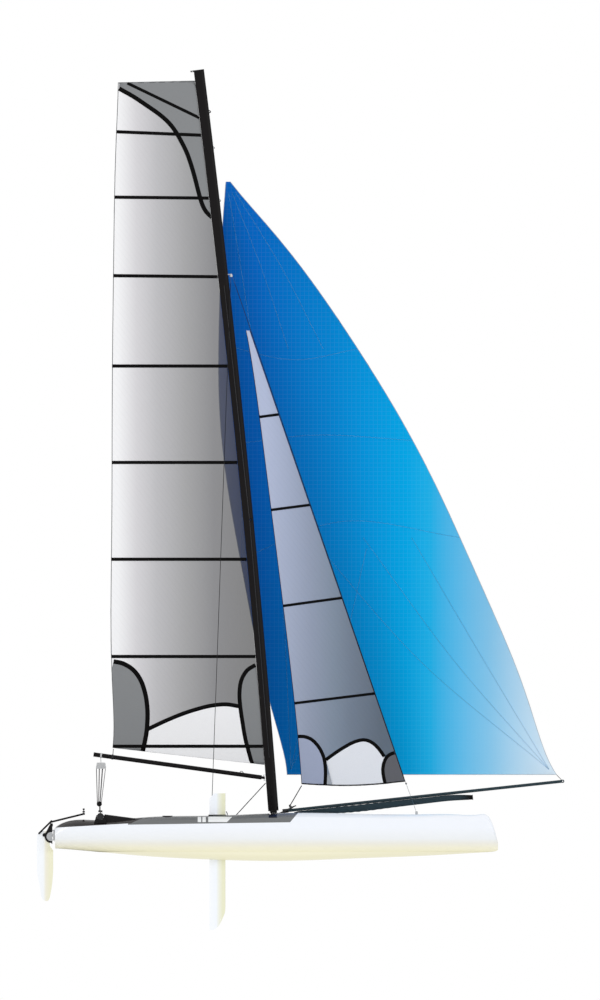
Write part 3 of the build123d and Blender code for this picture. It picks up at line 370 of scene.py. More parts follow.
# %% Metals
def brushed_metal(name, code, rough, grain_length, metallic=1.0):
    """Metal brushed across the boat: noise pulled out along Y scatters the gloss."""
    material, tree, shader = new_finish(name, Base_Color=linear(code), Metallic=metallic)
    place = add(tree, "TexCoord").outputs["Object"]
    drawn = add(tree, "Mapping", {"Vector": place, "Scale": (1.0, 0.0012 / grain_length, 1.0)})
    scratch = add(tree, "TexNoise", {"Vector": drawn.outputs[0], "Scale": 1 / 0.0012, "Detail": 3.0})
    level = add(tree, "MapRange", {0: scratch.outputs[0], 3: rough - 0.06, 4: rough + 0.08})
    tree.links.new(level.outputs[0], shader.inputs["Roughness"])
    return material


black_anodised = brushed_metal("black anodised aluminium", "1C1C1E", 0.40, 0.05, 0.4)
stainless = brushed_metal("polished stainless", "B9BCBF", 0.22, 0.01)
cast_grey = brushed_metal("cast grey aluminium", "BFC0C1", 0.45, 0.004, 0.5)
wire_steel = brushed_metal("laid stainless wire", "3A3C3E", 0.35, 0.003, 0.5)
dress(black_anodised, "front_beam", "rear_beam", "traveller_track", "jib_track", "outhaul_strap",
      "dolphin_striker")
dress(stainless, "chainplates", "bridle_plates", "gooseneck", "hounds_tang", "stay_collar")
dress(cast_grey, "mainsheet_upper_block", "gudgeons_starboard", "gudgeons_port")
dress(wire_steel, "shroud_starboard", "shroud_port", "forestay", "bridle")
print("carbon, plastic and metals dressed")

# %% [markdown]
# ## A helper for cloth panels and strips
#
# A sail, a batten pocket and a tape are all long bent rectangles. The simplest way to model
# them is a flat grid whose corners are then moved: the grid operator makes the faces and the
# UV map, and one small rule says where each point of it goes.


# %% Bent grids
def bent_grid(name, columns, rows, place, finish, slot, wall=0.0):
    """A grid of columns by rows cells whose points are put where place(u, v) says."""
    bm = bmesh.new()
    bmesh.ops.create_grid(bm, x_segments=columns, y_segments=rows, size=0.5)
    layer = bm.loops.layers.uv.new("cloth")
    for face in bm.faces:
        for loop in face.loops:
            loop[layer].uv = (loop.vert.co.x + 0.5, loop.vert.co.y + 0.5)
    for vert in bm.verts:
        vert.co = place(vert.co.x + 0.5, vert.co.y + 0.5)
    bmesh.ops.remove_doubles(bm, verts=bm.verts[:], dist=1e-5)
    for face in bm.faces:
        face.smooth = True
    data = bpy.data.meshes.new(name)
    bm.to_mesh(data)
    bm.free()
    piece = bpy.data.objects.new(name, data)
    scene.collection.objects.link(piece)
    data.materials.append(finish)
    if wall:
        thicken = piece.modifiers.new("wall", "SOLIDIFY")
        thicken.thickness = wall
        thicken.offset = 0.0
    return piece


def flow(points, share):
    """A point part of the way along a smooth line through the given points."""
    spot = min(max(share, 0.0), 1.0) * (len(points) - 1)
    i = min(int(spot), len(points) - 2)
    t = spot - i
    a, b = Vector(points[i]), Vector(points[i + 1])
    before = Vector(points[i - 1]) if i else a * 2 - b
    after = Vector(points[i + 2]) if i + 2 < len(points) else b * 2 - a
    return (a * 2 + (b - before) * t + (before * 2 - a * 5 + b * 4 - after) * t ** 2
            + (a * 3 - before - b * 3 + after) * t ** 3) / 2


# %% [markdown]
# ## The sails' surfaces
#
# Each CAD sail is a 5 mm solid with the true outline and camber. A real sail is a film a
# fraction of a millimetre thick, so the solid is cut by a stack of level planes, a smooth
# curve is fitted through each cut, and the rows become one sheet in the middle of the solid.


# %% Cut the CAD sails into rows
def sail_rows(name, foot, head, rows, bend=5):
    """Fore and aft ends and a camber curve for each cut; foot and head are (luff, leech) points."""
    source = bmesh.new()
    source.from_mesh(nodes[name].data)
    bmesh.ops.remove_doubles(source, verts=source.verts[:], dist=1e-6)
    cuts = []
    for i in range(rows + 1):
        luff = Vector(foot[0]).lerp(Vector(head[0]), i / rows)
        leech = Vector(foot[1]).lerp(Vector(head[1]), i / rows)
        run = leech - luff
        cut = source.copy()
        made = bmesh.ops.bisect_plane(
            cut, geom=cut.verts[:] + cut.edges[:] + cut.faces[:], dist=1e-6,
            plane_co=(luff.x, 0, luff.y), plane_no=Vector((-run.y, 0, run.x)).normalized())
        points = np.array([e.co[:] for e in made["geom_cut"] if isinstance(e, bmesh.types.BMVert)])
        cut.free()
        aft, fore = points[:, 0].min(), points[:, 0].max()
        share = (fore - points[:, 0]) / (fore - aft)
        degree = bend if fore - aft > 0.3 else 2
        camber = np.polyfit(share, points[:, 1], degree)
        level = np.polyfit(share, points[:, 2], 1)
        cuts.append([fore, aft, camber, level])
    source.free()
    return cuts


def sail_grid(cuts, columns, ease=6):
    """Rows of points from luff to leech, eased from row to row."""
    shares = np.linspace(0, 1, columns + 1)
    grid = np.array([[(fore + (aft - fore) * s, np.polyval(camber, s), np.polyval(level, s))
                      for s in shares] for fore, aft, camber, level in cuts])
    for _ in range(ease):
        grid[1:-1, :, 1] = (grid[:-2, :, 1] + 2 * grid[1:-1, :, 1] + grid[2:, :, 1]) / 4
    return grid


def sail_sheet(name, node, grid, finish, slot):
    """The sail itself: one open sheet, with its UV map from luff to leech and foot to head."""
    rows, columns = grid.shape[0] - 1, grid.shape[1] - 1
    piece = bent_grid(name, columns, rows,
                      lambda u, v: grid[round(v * rows), round(u * columns)], finish, slot)
    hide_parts(node)
    bm = bmesh.new()
    bm.from_mesh(piece.data)
    area = sum(face.calc_area() for face in bm.faces)
    tree = BVHTree.FromBMesh(bm)
    bm.free()
    print(name, "has", round(area, 2), "square metres")
    return piece, tree, area


def on_sail(tree, x, z):
    """The point of a sail's surface that is seen at x and z from the side."""
    hit = tree.ray_cast(Vector((x, 5, z)), Vector((0, -1, 0)))[0]
    return hit if hit else tree.find_nearest(Vector((x, tree.find_nearest(Vector((x, 0, z)))[0].y, z)))[0]


def strip(name, tree, points, width, finish, slot, body, wall=0.003, end_width=None):
    """A tape or batten laid along a line of side view points on a sail, showing on both faces."""
    last = width if end_width is None else end_width
    length = sum((Vector(b) - Vector(a)).length for a, b in zip(points, points[1:]))
    pieces = max(6, round(length / 0.06))

    def place(u, v):
        here = flow(points, u)
        if u > 0.99:
            along = (here - flow(points, u - 0.01)).normalized()
        else:
            along = (flow(points, min(u + 0.01, 1.0)) - here).normalized()
        across = Vector((-along.y, along.x)) * (width + (last - width) * u) * (v - 0.5)
        return on_sail(tree, here.x + across.x, here.y + across.y)

    piece = bent_grid(name, pieces, 2, place, finish, slot, wall)
    if body:
        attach(piece, body)
    return piece


def panel(name, tree, low, high, finish, slot, body, wall=0.0024, cells=(24, 24)):
    """A patch of a second colour between two side view lines, a little thinner than the tapes."""
    piece = bent_grid(name, cells[0], cells[1],
                      lambda u, v: on_sail(tree, *flow(low, u).lerp(flow(high, u), v)),
                      finish, slot, wall)
    if body:
        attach(piece, body)
    return piece


print("sail helpers ready")

# %% [markdown]
# ## Sail cloth
#
# The mainsail and jib are polyester film laminated over a scrim of yarns. The film is smoky
# and a little see-through, and its colour is painted darker towards the luff as painted shade
# of the curved sail. The yarns show as a very faint lattice. The gennaker is light spinnaker
# nylon whose dye runs from deep blue at its leech to pale blue at its luff; its whitish end near
# the tack is a painted highlight. Its ripstop threads are drawn at 30 mm because the real 5 mm
# grid is too fine to show.


# %% Sail finishes
def laminated_film(name, stops, yarn=0.030, alpha=0.88):
    """Smoky film over a lattice of yarns, with painted shade along the boat."""
    material, tree, shader = new_finish(
        name, Roughness=0.42, IOR=1.5, Specular_IOR_Level=0.2, Alpha=alpha)
    place = add(tree, "TexCoord").outputs["Object"]
    axes = add(tree, "SeparateXYZ", {0: place})
    # Painted shade: the stops darken the film from the leech towards the luff.
    graded = fade(tree, axes.outputs[0], stops)
    turned = add(tree, "Mapping", {"Vector": place, "Rotation": (0.0, math.radians(38), 0.0)})
    yarns = add(tree, "TexWave", {"Vector": turned.outputs[0], "Scale": 1 / (yarn * 6.28),
                                  "Distortion": 0.4}, bands_direction="X")
    thin = add(tree, "MapRange", {0: yarns.outputs["Fac"], 1: 0.85, 2: 1.0, 3: 0.0, 4: 0.035})
    shaded = add(tree, "Mix", {0: thin.outputs[0], 6: graded, 7: linear("3A3A3C")}, data_type="RGBA")
    tree.links.new(shaded.outputs[2], shader.inputs["Base Color"])
    crinkle = add(tree, "TexNoise", {"Vector": place, "Scale": 1 / 0.35, "Detail": 4.0})
    skin = add(tree, "Bump", {"Strength": 0.12, "Distance": 0.006, "Height": crinkle.outputs[0]})
    tree.links.new(skin.outputs[0], shader.inputs["Normal"])
    return material


# Painted shade of the curved films: light at the leech, darker towards the luff.
MAIN_SHADE_FADE = [(-2.26, "F1F1F3"), (-2.18, "EEEEF0"), (-1.93, "C8C6CA"), (-1.65, "A8A7AB"),
             (-1.25, "838385"), (-0.86, "56565B"), (-0.36, "3B3B3D")]
JIB_SHADE_FADE = [(-0.45, "BEC6DC"), (-0.15, "B9C1D7"), (0.46, "989FAF"), (0.79, "858E99"),
            (1.04, "777D86"), (1.43, "66686C")]
main_film = laminated_film("smoky laminate film", MAIN_SHADE_FADE, alpha=0.82)
jib_film = laminated_film("pale laminate film", JIB_SHADE_FADE)

# The nylon's dye, deep blue aft to pale blue forward; its whitish end near the tack is a painted highlight.
NYLON_FADE = [(-0.80, "005DB4"), (-0.28, "006AC6"), (0.20, "007ACE"), (0.74, "008BD8"),
              (1.28, "009FE6"), (1.80, "00B1F0"), (2.12, "22BBF2"), (2.52, "64C6F4"),
              (2.95, "8ECFF2"), (3.40, "BEE0F6"), (3.80, "DCEDFA")]
nylon, tree, shader = new_finish(
    "dyed spinnaker nylon", Roughness=0.6, IOR=1.5, Specular_IOR_Level=0.04)
place = add(tree, "TexCoord").outputs["Object"]
axes = add(tree, "SeparateXYZ", {0: place})
graded = fade(tree, axes.outputs[0], NYLON_FADE)
RIPSTOP = 0.030
checks = [add(tree, "TexWave", {"Vector": place, "Scale": 1 / (RIPSTOP * 6.28)},
              bands_direction=way).outputs["Fac"] for way in ("X", "Z")]
threads = add(tree, "Math", {0: checks[0], 1: checks[1]}, operation="MAXIMUM")
thin = add(tree, "MapRange", {0: threads.outputs[0], 1: 0.93, 2: 1.0, 3: 0.0, 4: 0.02})
shaded = add(tree, "Mix", {0: thin.outputs[0], 6: graded, 7: linear("E4F2FA")}, data_type="RGBA")
tree.links.new(shaded.outputs[2], shader.inputs["Base Color"])
crinkle = add(tree, "TexNoise", {"Vector": place, "Scale": 1 / 0.5, "Detail": 3.0})
skin = add(tree, "Bump", {"Strength": 0.12, "Distance": 0.008, "Height": crinkle.outputs[0]})
tree.links.new(skin.outputs[0], shader.inputs["Normal"])


def stitched_cloth(name, code, thread=0.004, alpha=1.0, rough=0.7, shine=0.12):
    """Woven polyester for tapes, pockets and patches."""
    material, tree, shader = new_finish(
        name, Roughness=rough, IOR=1.5, Specular_IOR_Level=shine, Alpha=alpha)
    place = add(tree, "TexCoord").outputs["Object"]
    weave = add(tree, "TexVoronoi", {"Vector": place, "Scale": 1 / thread}, distance="MANHATTAN")
    deeper = [c * 0.90 for c in linear(code)[:3]] + [1.0]
    shaded = add(tree, "Mix", {0: weave.outputs["Distance"], 6: linear(code), 7: deeper},
                 data_type="RGBA")
    tree.links.new(shaded.outputs[2], shader.inputs["Base Color"])
    skin = add(tree, "Bump", {"Strength": 0.2, "Distance": 0.0004,
                              "Height": weave.outputs["Distance"]})
    tree.links.new(skin.outputs[0], shader.inputs["Normal"])
    return material


black_tape = stitched_cloth("black reinforcing tape", "0C0B0B", shine=0.05)
grey_patch = stitched_cloth("grey reinforcing patch", "8A8C8E")
clew_cloth = stitched_cloth("pale blue reinforcing patch", "A4ADC6")
tack_cloth = stitched_cloth("dark reinforcing patch", "66676D")
clear_panel = stitched_cloth("clear window film", "FBFBFD", rough=0.3)
jib_window = stitched_cloth("jib window film", "EBEEF5", rough=0.3)
hem_cloth = stitched_cloth("folded hem cloth", "6E7072")
pale_hem = stitched_cloth("pale hem cloth", "BCC6CE")
pale_seam = stitched_cloth("pale seam tape", "58AEE2", alpha=0.22)
print("sail finishes ready")

# %% [markdown]
# ## Mainsail
#
# The mainsail is set on the mast's track and only its foot's two corners reach the boom.
# Its battens lie in black pockets right across, and black tapes bound the patches in the
# head, clew and tack. The strips are laid on the finished surface by casting a ray at it
# from the side, so they follow its camber exactly.

# %% Mainsail surface
MAIN_FOOT = ((-0.19, 1.203), (-2.26, 1.434))
MAIN_HEAD = ((-1.06, 10.624), (-2.18, 10.598))
main_cuts = sail_rows("mainsail", MAIN_FOOT, MAIN_HEAD, 120)
main_sheet, main_tree, main_area = sail_sheet(
    "mainsail_film", "mainsail", sail_grid(main_cuts, 48), main_film, "main_film")
main_pieces = [main_sheet]

# %% Battens, tapes and patches of the mainsail
BATTEN = 0.045
batten_heights = [(9.918, 9.870), (9.017, 9.004), (7.936, 7.921), (6.692, 6.691),
                  (5.364, 5.364), (4.031, 4.031), (2.692, 2.692), (1.456, 1.456)]
head_low = [(-2.168, 10.513), (-1.967, 10.400), (-1.778, 10.273), (-1.620, 10.163),
            (-1.493, 10.052), (-1.398, 9.934), (-1.319, 9.799), (-1.240, 9.641),
            (-1.177, 9.467), (-1.122, 9.278), (-1.074, 9.088), (-1.027, 8.930),
            (-0.971, 8.819), (-0.885, 8.737)]
clew_band = [(-2.244, 2.624), (-2.111, 2.594), (-1.971, 2.506), (-1.866, 2.357), (-1.804, 2.164),
             (-1.778, 1.971), (-1.778, 1.795), (-1.795, 1.619), (-1.842, 1.386)]
tack_band = [(-0.290, 2.575), (-0.408, 2.498), (-0.487, 2.357), (-0.510, 2.181), (-0.499, 2.006),
             (-0.469, 1.795), (-0.434, 1.584), (-0.381, 1.374), (-0.335, 1.212)]
arch = [(-1.775, 1.690), (-1.514, 1.813), (-1.251, 1.918), (-0.987, 1.997), (-0.812, 2.027),
        (-0.671, 2.032), (-0.505, 2.004)]


def edge_points(tree_grid, u, count):
    """Side view points up a sail at one share of its chord."""
    rows = np.linspace(0, tree_grid.shape[0] - 1, count).round().astype(int)
    column = round(u * (tree_grid.shape[1] - 1))
    return [(float(tree_grid[r, column, 0]), float(tree_grid[r, column, 2])) for r in rows]


main_grid = sail_grid(main_cuts, 48)
luff_line = edge_points(main_grid, 0.0, 60)
leech_line = edge_points(main_grid, 1.0, 60)


def part_of(line, low, high):
    """The points of a sail's edge between two heights."""
    return [point for point in line if low <= point[1] <= high]


def edge_at(line, height):
    """How far along the boat a sail's edge is at a height."""
    return float(np.interp(height, [p[1] for p in line], [p[0] for p in line]))


for i, (aft, fore) in enumerate(batten_heights):
    ends = [(edge_at(leech_line, aft), aft), (edge_at(luff_line, fore), fore)]
    main_pieces.append(strip(f"main_batten_{i}", main_tree, ends, BATTEN, black_tape,
                             "webbing", None, 0.006))
for name, line, width in (("head_band", head_low, 0.060), ("clew_band", clew_band, 0.062),
                          ("tack_band", tack_band, 0.056), ("window_band", arch, 0.056)):
    main_pieces.append(strip(f"main_{name}", main_tree, line, width, black_tape, "webbing", None, 0.004))
main_pieces.append(strip("main_head_tape", main_tree, [(-2.055, 10.588), (-1.055, 10.106)],
                         0.042, black_tape, "webbing", None, 0.0044))
head_edge = [(-2.165, 10.594), (-1.60, 10.606), (-1.12, 10.61), (-1.08, 10.40)]
head_edge += part_of(luff_line[::-1], 8.74, 10.3)
main_pieces.append(panel("main_head_patch", main_tree, head_low, head_edge, grey_patch,
                         "main_film", None, cells=(48, 24)))
clew_edge = part_of(leech_line, 1.43, 2.63)[::-1] + [(-2.235, 1.430), (-2.05, 1.410)]
main_pieces.append(panel("main_clew_patch", main_tree, clew_band, clew_edge, grey_patch,
                         "main_film", None))
tack_edge = part_of(luff_line, 1.19, 2.575)[::-1]
main_pieces.append(panel("main_tack_patch", main_tree, tack_band, tack_edge, grey_patch,
                         "main_film", None))
main_pieces.append(panel("main_window", main_tree, arch, [(-1.79, 1.46), (-0.41, 1.46)],
                         clear_panel, "main_film", None, 0.002))
main_pieces.append(panel("main_foot_panel", main_tree, [(-1.83, 1.45), (-0.36, 1.45)],
                         [(-1.83, 1.388), (-0.34, 1.216)], clear_panel, "main_film", None, 0.002))
for name, line, width in (
        ("leech", leech_line, 0.018), ("foot", [(-2.240, 1.426), (-0.20, 1.195)], 0.014),
        ("head", [(-2.17, 10.592), (-1.115, 10.610)], 0.018)):
    main_pieces.append(strip(f"main_{name}_hem", main_tree, line, width, hem_cloth, "webbing",
                             None, 0.003))
print("mainsail made of", len(main_pieces), "pieces")

# %% [markdown]
# When the mast turns, the luff goes with it and the cloth behind follows the boom. Here each
# piece of the sail only has its placement baked into its mesh.

# %% Bake the mainsail's pieces in place
for piece in main_pieces:
    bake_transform(piece)
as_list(main_pieces[1:])

# %% [markdown]
# ## Jib
#
# The jib hangs on the forestay and tacks itself: its clew rides a short curved track. It has
# four short battens at the leech, rounded patches in two corners and a pale window between.

# %% Jib surface
JIB_FOOT = ((1.775, 0.968), (0.345, 0.934))
JIB_HEAD = ((-0.37, 7.18), (-0.42, 7.18))
jib_cuts = sail_rows("jib", JIB_FOOT, JIB_HEAD, 84, 4)
jib_grid = sail_grid(jib_cuts, 30)
FOOT_ROACH = 0.040
for i in range(6):
    dip = np.sin(np.linspace(0, math.pi, 31)) * FOOT_ROACH * (1 - i / 6)
    jib_grid[i, :, 2] -= dip
jib_sheet_piece, jib_tree, jib_area = sail_sheet("jib_film", "jib", jib_grid, jib_film, "jib_film")
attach(jib_sheet_piece, "jib")

# %% Battens, tapes and patches of the jib
jib_leech = edge_points(jib_grid, 1.0, 80)
jib_luff = edge_points(jib_grid, 0.0, 80)
jib_foot = [tuple(map(float, p)) for p in jib_grid[0][::-3][:, [0, 2]]]
for i, (aft, fore) in enumerate(((5.990, 6.026), (4.710, 4.780), (3.388, 3.500), (2.048, 2.183))):
    ends = [(edge_at(jib_leech, aft), aft), (edge_at(jib_luff, fore), fore)]
    strip(f"jib_batten_{i}", jib_tree, ends, 0.036, black_tape,
                            "webbing", "jib", 0.006)
jib_clew = [(0.290, 1.591), (0.385, 1.588), (0.490, 1.545), (0.582, 1.446), (0.642, 1.328),
            (0.668, 1.209), (0.675, 1.077), (0.668, 0.915)]
jib_tack = [(1.625, 1.367), (1.544, 1.334), (1.491, 1.262), (1.465, 1.156), (1.472, 1.051),
            (1.496, 0.942)]
jib_arch = [(0.680, 1.270), (0.806, 1.361), (0.938, 1.446), (1.070, 1.515), (1.201, 1.545),
            (1.307, 1.512), (1.399, 1.433), (1.485, 1.314)]
for name, line in (("clew", jib_clew), ("tack", jib_tack), ("window", jib_arch)):
    strip(f"jib_{name}_band", jib_tree, line, 0.048, black_tape, "webbing",
                            "jib", 0.004)
panel("jib_clew_patch", jib_tree, jib_clew,
                        part_of(jib_leech, 0.93, 1.591)[::-1] + [(0.40, 0.925)], clew_cloth,
                        "jib_film", "jib")
panel("jib_tack_patch", jib_tree, jib_tack, part_of(jib_luff, 0.955, 1.367)[::-1],
                        tack_cloth, "jib_film", "jib")
panel("jib_window", jib_tree, jib_arch, jib_foot[3:-2],
                        jib_window, "jib_film", "jib", 0.002)
strip("jib_foot_tape", jib_tree, jib_foot, 0.034, black_tape, "webbing",
                        "jib", 0.005)
for name, line in (("leech", jib_leech), ("luff", jib_luff)):
    strip(f"jib_{name}_rope", jib_tree, line, 0.013, black_tape, "webbing",
                            "jib", 0.005)

# %% [markdown]
# ## Gennaker
#
# The gennaker is the big free-flying sail. It is cut from radial panels that fan out of its
# three corners and meet in cross seams, which show as slightly paler lines.

# %% Gennaker surface
GENNAKER_FOOT = ((3.86, 1.064), (0.146, 1.064))
GENNAKER_HEAD = ((-0.64, 9.23), (-0.70, 9.23))
gennaker_cuts = sail_rows("gennaker", GENNAKER_FOOT, GENNAKER_HEAD, 110, 6)
gennaker_grid = sail_grid(gennaker_cuts, 60)
gennaker_sheet, gennaker_tree, gennaker_area = sail_sheet(
    "gennaker_nylon", "gennaker", gennaker_grid, nylon, "gennaker_nylon")
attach(gennaker_sheet, "root")

# %% Seams and edges of the gennaker
gennaker_luff = edge_points(gennaker_grid, 0.0, 50)
gennaker_leech = edge_points(gennaker_grid, 1.0, 50)


def sail_spot(grid, u, v):
    """The side view point at shares of a sail's chord and height."""
    p = grid[round(v * (grid.shape[0] - 1)), round(u * (grid.shape[1] - 1))]
    return float(p[0]), float(p[2])


seams = {
    "upper_cross": [(0.0, 0.72), (0.5, 0.70), (1.0, 0.73)],
    "lower_cross": [(0.0, 0.40), (0.5, 0.43), (1.0, 0.36)],
    "middle_cross": [(0.0, 0.56), (0.5, 0.57), (1.0, 0.55)],
}
for i, u in enumerate((0.25, 0.5, 0.75)):
    seams[f"head_ray_{i}"] = [(u, 0.985), (u, 0.85), (u, 0.715)]
    seams[f"tack_ray_{i}"] = [(0.02, 0.01), (0.12 * (i + 1), 0.19), (0.22 * (i + 1), 0.40)]
    seams[f"clew_ray_{i}"] = [(0.98, 0.01), (1 - 0.10 * (i + 1), 0.18), (1 - 0.19 * (i + 1), 0.385)]
for name, spots in seams.items():
    line = [sail_spot(gennaker_grid, u, v) for u, v in spots]
    strip(f"gennaker_{name}", gennaker_tree, line, 0.014, pale_seam,
                                 "gennaker_nylon", "root", 0.0016)
for name, line in (("luff", gennaker_luff), ("leech", gennaker_leech),
                   ("foot", [sail_spot(gennaker_grid, u, 0.0) for u in np.linspace(0, 1, 9)])):
    strip(f"gennaker_{name}_hem", gennaker_tree, line, 0.012, pale_hem,
                                 "gennaker_nylon", "root", 0.003)

# %% [markdown]
# ## Trampoline
#
# The crew's deck is a woven mesh stretched between the beams and the hulls. It is one sheet
# that sags a few millimetres in its middle, with webbing hems, a seam along the centreline
# and a zigzag lacing that draws its rear edge tight.

# %% Trampoline
wire_cover = stitched_cloth("black wire cover", "1A1A1B", rough=0.5)
mesh_cloth = stitched_cloth("woven trampoline mesh", "1B1C1F", thread=0.008, rough=0.8, shine=0.08)
cord_finish = stitched_cloth("braided grey line", "39393B", thread=0.003, rough=0.65)
pale_cord = stitched_cloth("braided pale line", "9C9899", thread=0.003, rough=0.65)
NET_SAG, NET_CELLS = 0.005, 40
HEM, WEBBING = 0.05, 0.004
net_low, net_high = (Vector(corner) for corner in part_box("trampoline"))
net_size = net_high - net_low


def net_point(x, y, lift=0.0):
    """A point of the mesh, which hangs a little between its edges."""
    across = math.sin(math.pi * (y - net_low.y) / net_size.y)
    along = math.sin(math.pi * (x - net_low.x) / net_size.x)
    return Vector((x, y, net_low.z + net_size.z / 2 + lift - NET_SAG * across * along))


def net_patch(name, xs, ys, finish, slot, wall=0.0):
    """A rectangle of cloth on the mesh; a narrow one is two cells across."""
    cells = [NET_CELLS if high - low > 2 * HEM else 2 for low, high in (xs, ys)]
    piece = bent_grid(name, *cells,
                      lambda u, v: net_point(xs[0] + (xs[1] - xs[0]) * u,
                                             ys[0] + (ys[1] - ys[0]) * v),
                      finish, slot, wall)
    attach(piece, "root")
    return piece


def rope(name, points, diameter, finish, body, closed=False):
    """A taut line or a bent rod through the points."""
    data = bpy.data.curves.new(name, "CURVE")
    data.dimensions = "3D"
    data.bevel_depth = diameter / 2
    data.bevel_resolution = 3
    data.use_fill_caps = True
    spline = data.splines.new("POLY")
    spline.points.add(len(points) - 1)
    spline.use_cyclic_u = closed
    for spot, point in zip(spline.points, points):
        spot.co = (*point, 1)
    data.materials.append(finish)
    piece = bpy.data.objects.new(name, data)
    scene.collection.objects.link(piece)
    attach(piece, body)
    return piece


x_ends, y_ends = (net_low.x, net_high.x), (net_low.y, net_high.y)
net = net_patch("trampoline_mesh", x_ends, y_ends, mesh_cloth, "trampoline_mesh")
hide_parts("trampoline")
tapes = {"hem_rear": ((x_ends[0], x_ends[0] + HEM), y_ends),
         "hem_front": ((x_ends[1] - HEM, x_ends[1]), y_ends),
         "hem_starboard": (x_ends, (y_ends[0], y_ends[0] + HEM)),
         "hem_port": (x_ends, (y_ends[1] - HEM, y_ends[1])),
         "seam": (x_ends, (-0.02, 0.02))}
net_pieces = [net_patch(f"trampoline_{name}", xs, ys, black_tape, "webbing", WEBBING)
              for name, (xs, ys) in tapes.items()]
laces = [net_point(x_ends[0] + (0.010 if i % 2 else 0.055), y, WEBBING)
         for i, y in enumerate(np.linspace(y_ends[0] + 0.06, y_ends[1] - 0.06, 41))]
net_pieces.append(rope("trampoline_lacing", laces, 0.005, pale_cord, "root"))
print("trampoline made of", len(net_pieces) + 1, "pieces")

# %% [markdown]
# ## Gennaker sock
#
# The gennaker is pulled down into a long cloth sleeve under the pole. The sleeve is measured
# from its CAD solid ring by ring, then wrinkled: small folds run round it where the cloth is
# slack. Its front end droops and narrows to a black mouth, held open by a ring.

# %% Sock
POLE_FOOT, POLE_HEAD = Vector((0.113, 0, 0.565)), Vector((3.973, 0, 0.978))
pole_way = (POLE_HEAD - POLE_FOOT).normalized()
pole_up = Vector((-pole_way.z, 0, pole_way.x))


def cut_points(name, spot, normal):
    """The corners of the section where a plane cuts a CAD node."""
    bm = bmesh.new()
    bm.from_mesh(nodes[name].data)
    bmesh.ops.remove_doubles(bm, verts=bm.verts[:], dist=1e-6)
    made = bmesh.ops.bisect_plane(bm, geom=bm.verts[:] + bm.edges[:] + bm.faces[:], dist=1e-6,
                                  plane_co=spot, plane_no=normal)
    points = np.array([e.co[:] for e in made["geom_cut"] if isinstance(e, bmesh.types.BMVert)])
    bm.free()
    return points


sock_span = [float(np.dot(np.array(v.co) - np.array(POLE_FOOT), np.array(pole_way)))
             for v in nodes["gennaker_sock"].data.vertices]
sock_start, sock_end = min(sock_span) + 0.002, max(sock_span) - 0.002
SOCK_RINGS, POLE_REACH = 36, 0.0245
MOUTH_RADIUS, MOUTH_DROP, MOUTH_TAPER = 0.031, 0.088, 0.36
sock_rings = []
for distance in np.linspace(sock_start, sock_end, SOCK_RINGS + 1):
    spot = POLE_FOOT + pole_way * float(distance)
    section = cut_points("gennaker_sock", spot, pole_way)
    lifts = (section - np.array(spot)) @ np.array(pole_up)
    radius = float(np.abs(section[:, 1]).max())
    narrow = max(0.0, (distance - sock_end + MOUTH_TAPER) / MOUTH_TAPER) ** 1.5
    middle = float(lifts.min()) + radius
    sock_rings.append((distance, middle - (MOUTH_DROP + middle) * narrow,
                       radius + (MOUTH_RADIUS - radius) * narrow))


def sock_place(u, v):
    """A point of the sleeve: u goes round it and v along it."""
    distance, lift, radius = (float(np.interp(v * SOCK_RINGS, range(SOCK_RINGS + 1), column))
                              for column in zip(*sock_rings))
    turn = 2 * math.pi * u
    slack = math.sin(math.pi * min(v * 1.6, 1.0))
    folds = 0.05 * math.sin(150 * v + 2.2 * math.sin(turn)) * slack
    folds += 0.03 * math.sin(3 * turn + 17 * v)
    closing = min(1.0, math.sqrt(max(v, 0.0) / 0.03 + 0.01))
    reach = radius * (0.97 + folds) * closing
    side, rise = reach * math.cos(turn), lift + reach * math.sin(turn)
    away = math.hypot(side, rise)
    if away < POLE_REACH:
        side, rise = side * POLE_REACH / away, rise * POLE_REACH / away
    return POLE_FOOT + pole_way * distance + pole_up * rise + Vector((0, side, 0))


sock_cloth, tree, shader = new_finish(
    "slate sleeve cloth", Roughness=0.75, IOR=1.5, Specular_IOR_Level=0.08)
place = add(tree, "TexCoord").outputs["Object"]
axes = add(tree, "SeparateXYZ", {0: place})
graded = fade(tree, axes.outputs[0], [(0.30, "232D33"), (0.90, "2C3B42"), (2.50, "2C3A41"), (2.66, "0E0E0F")])
tree.links.new(graded, shader.inputs["Base Color"])
weave = add(tree, "TexVoronoi", {"Vector": place, "Scale": 1 / 0.005}, distance="MANHATTAN")
creases = add(tree, "TexNoise", {"Vector": place, "Scale": 1 / 0.04, "Detail": 3.0})
height = add(tree, "Math", {0: creases.outputs[0], 1: weave.outputs["Distance"]}, operation="ADD")
skin = add(tree, "Bump", {"Strength": 0.25, "Distance": 0.002, "Height": height.outputs[0]})
tree.links.new(skin.outputs[0], shader.inputs["Normal"])
sock = bent_grid("sock_sleeve", 32, 180, sock_place, sock_cloth, "sock_cloth", wall=0.002)
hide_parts("gennaker_sock")
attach(sock, "root")
bm = bmesh.new()
bm.from_mesh(sock.data)
sock_area = sum(face.calc_area() for face in bm.faces)
bm.free()
bm = bmesh.new()
mouth_distance, mouth_lift, mouth_radius = sock_rings[-1]
bmesh.ops.create_circle(bm, segments=48, radius=mouth_radius)
hoop_line = [POLE_FOOT + pole_way * (mouth_distance + 0.003) + pole_up * (mouth_lift + v.co.y)
             + Vector((0, v.co.x, 0)) for v in bm.verts]
bm.free()
hoop = rope("sock_hoop", hoop_line, 0.011, plastic, "root", closed=True)
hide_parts("sock_ring")
print("sock has", round(sock_area, 3), "square metres of cloth")

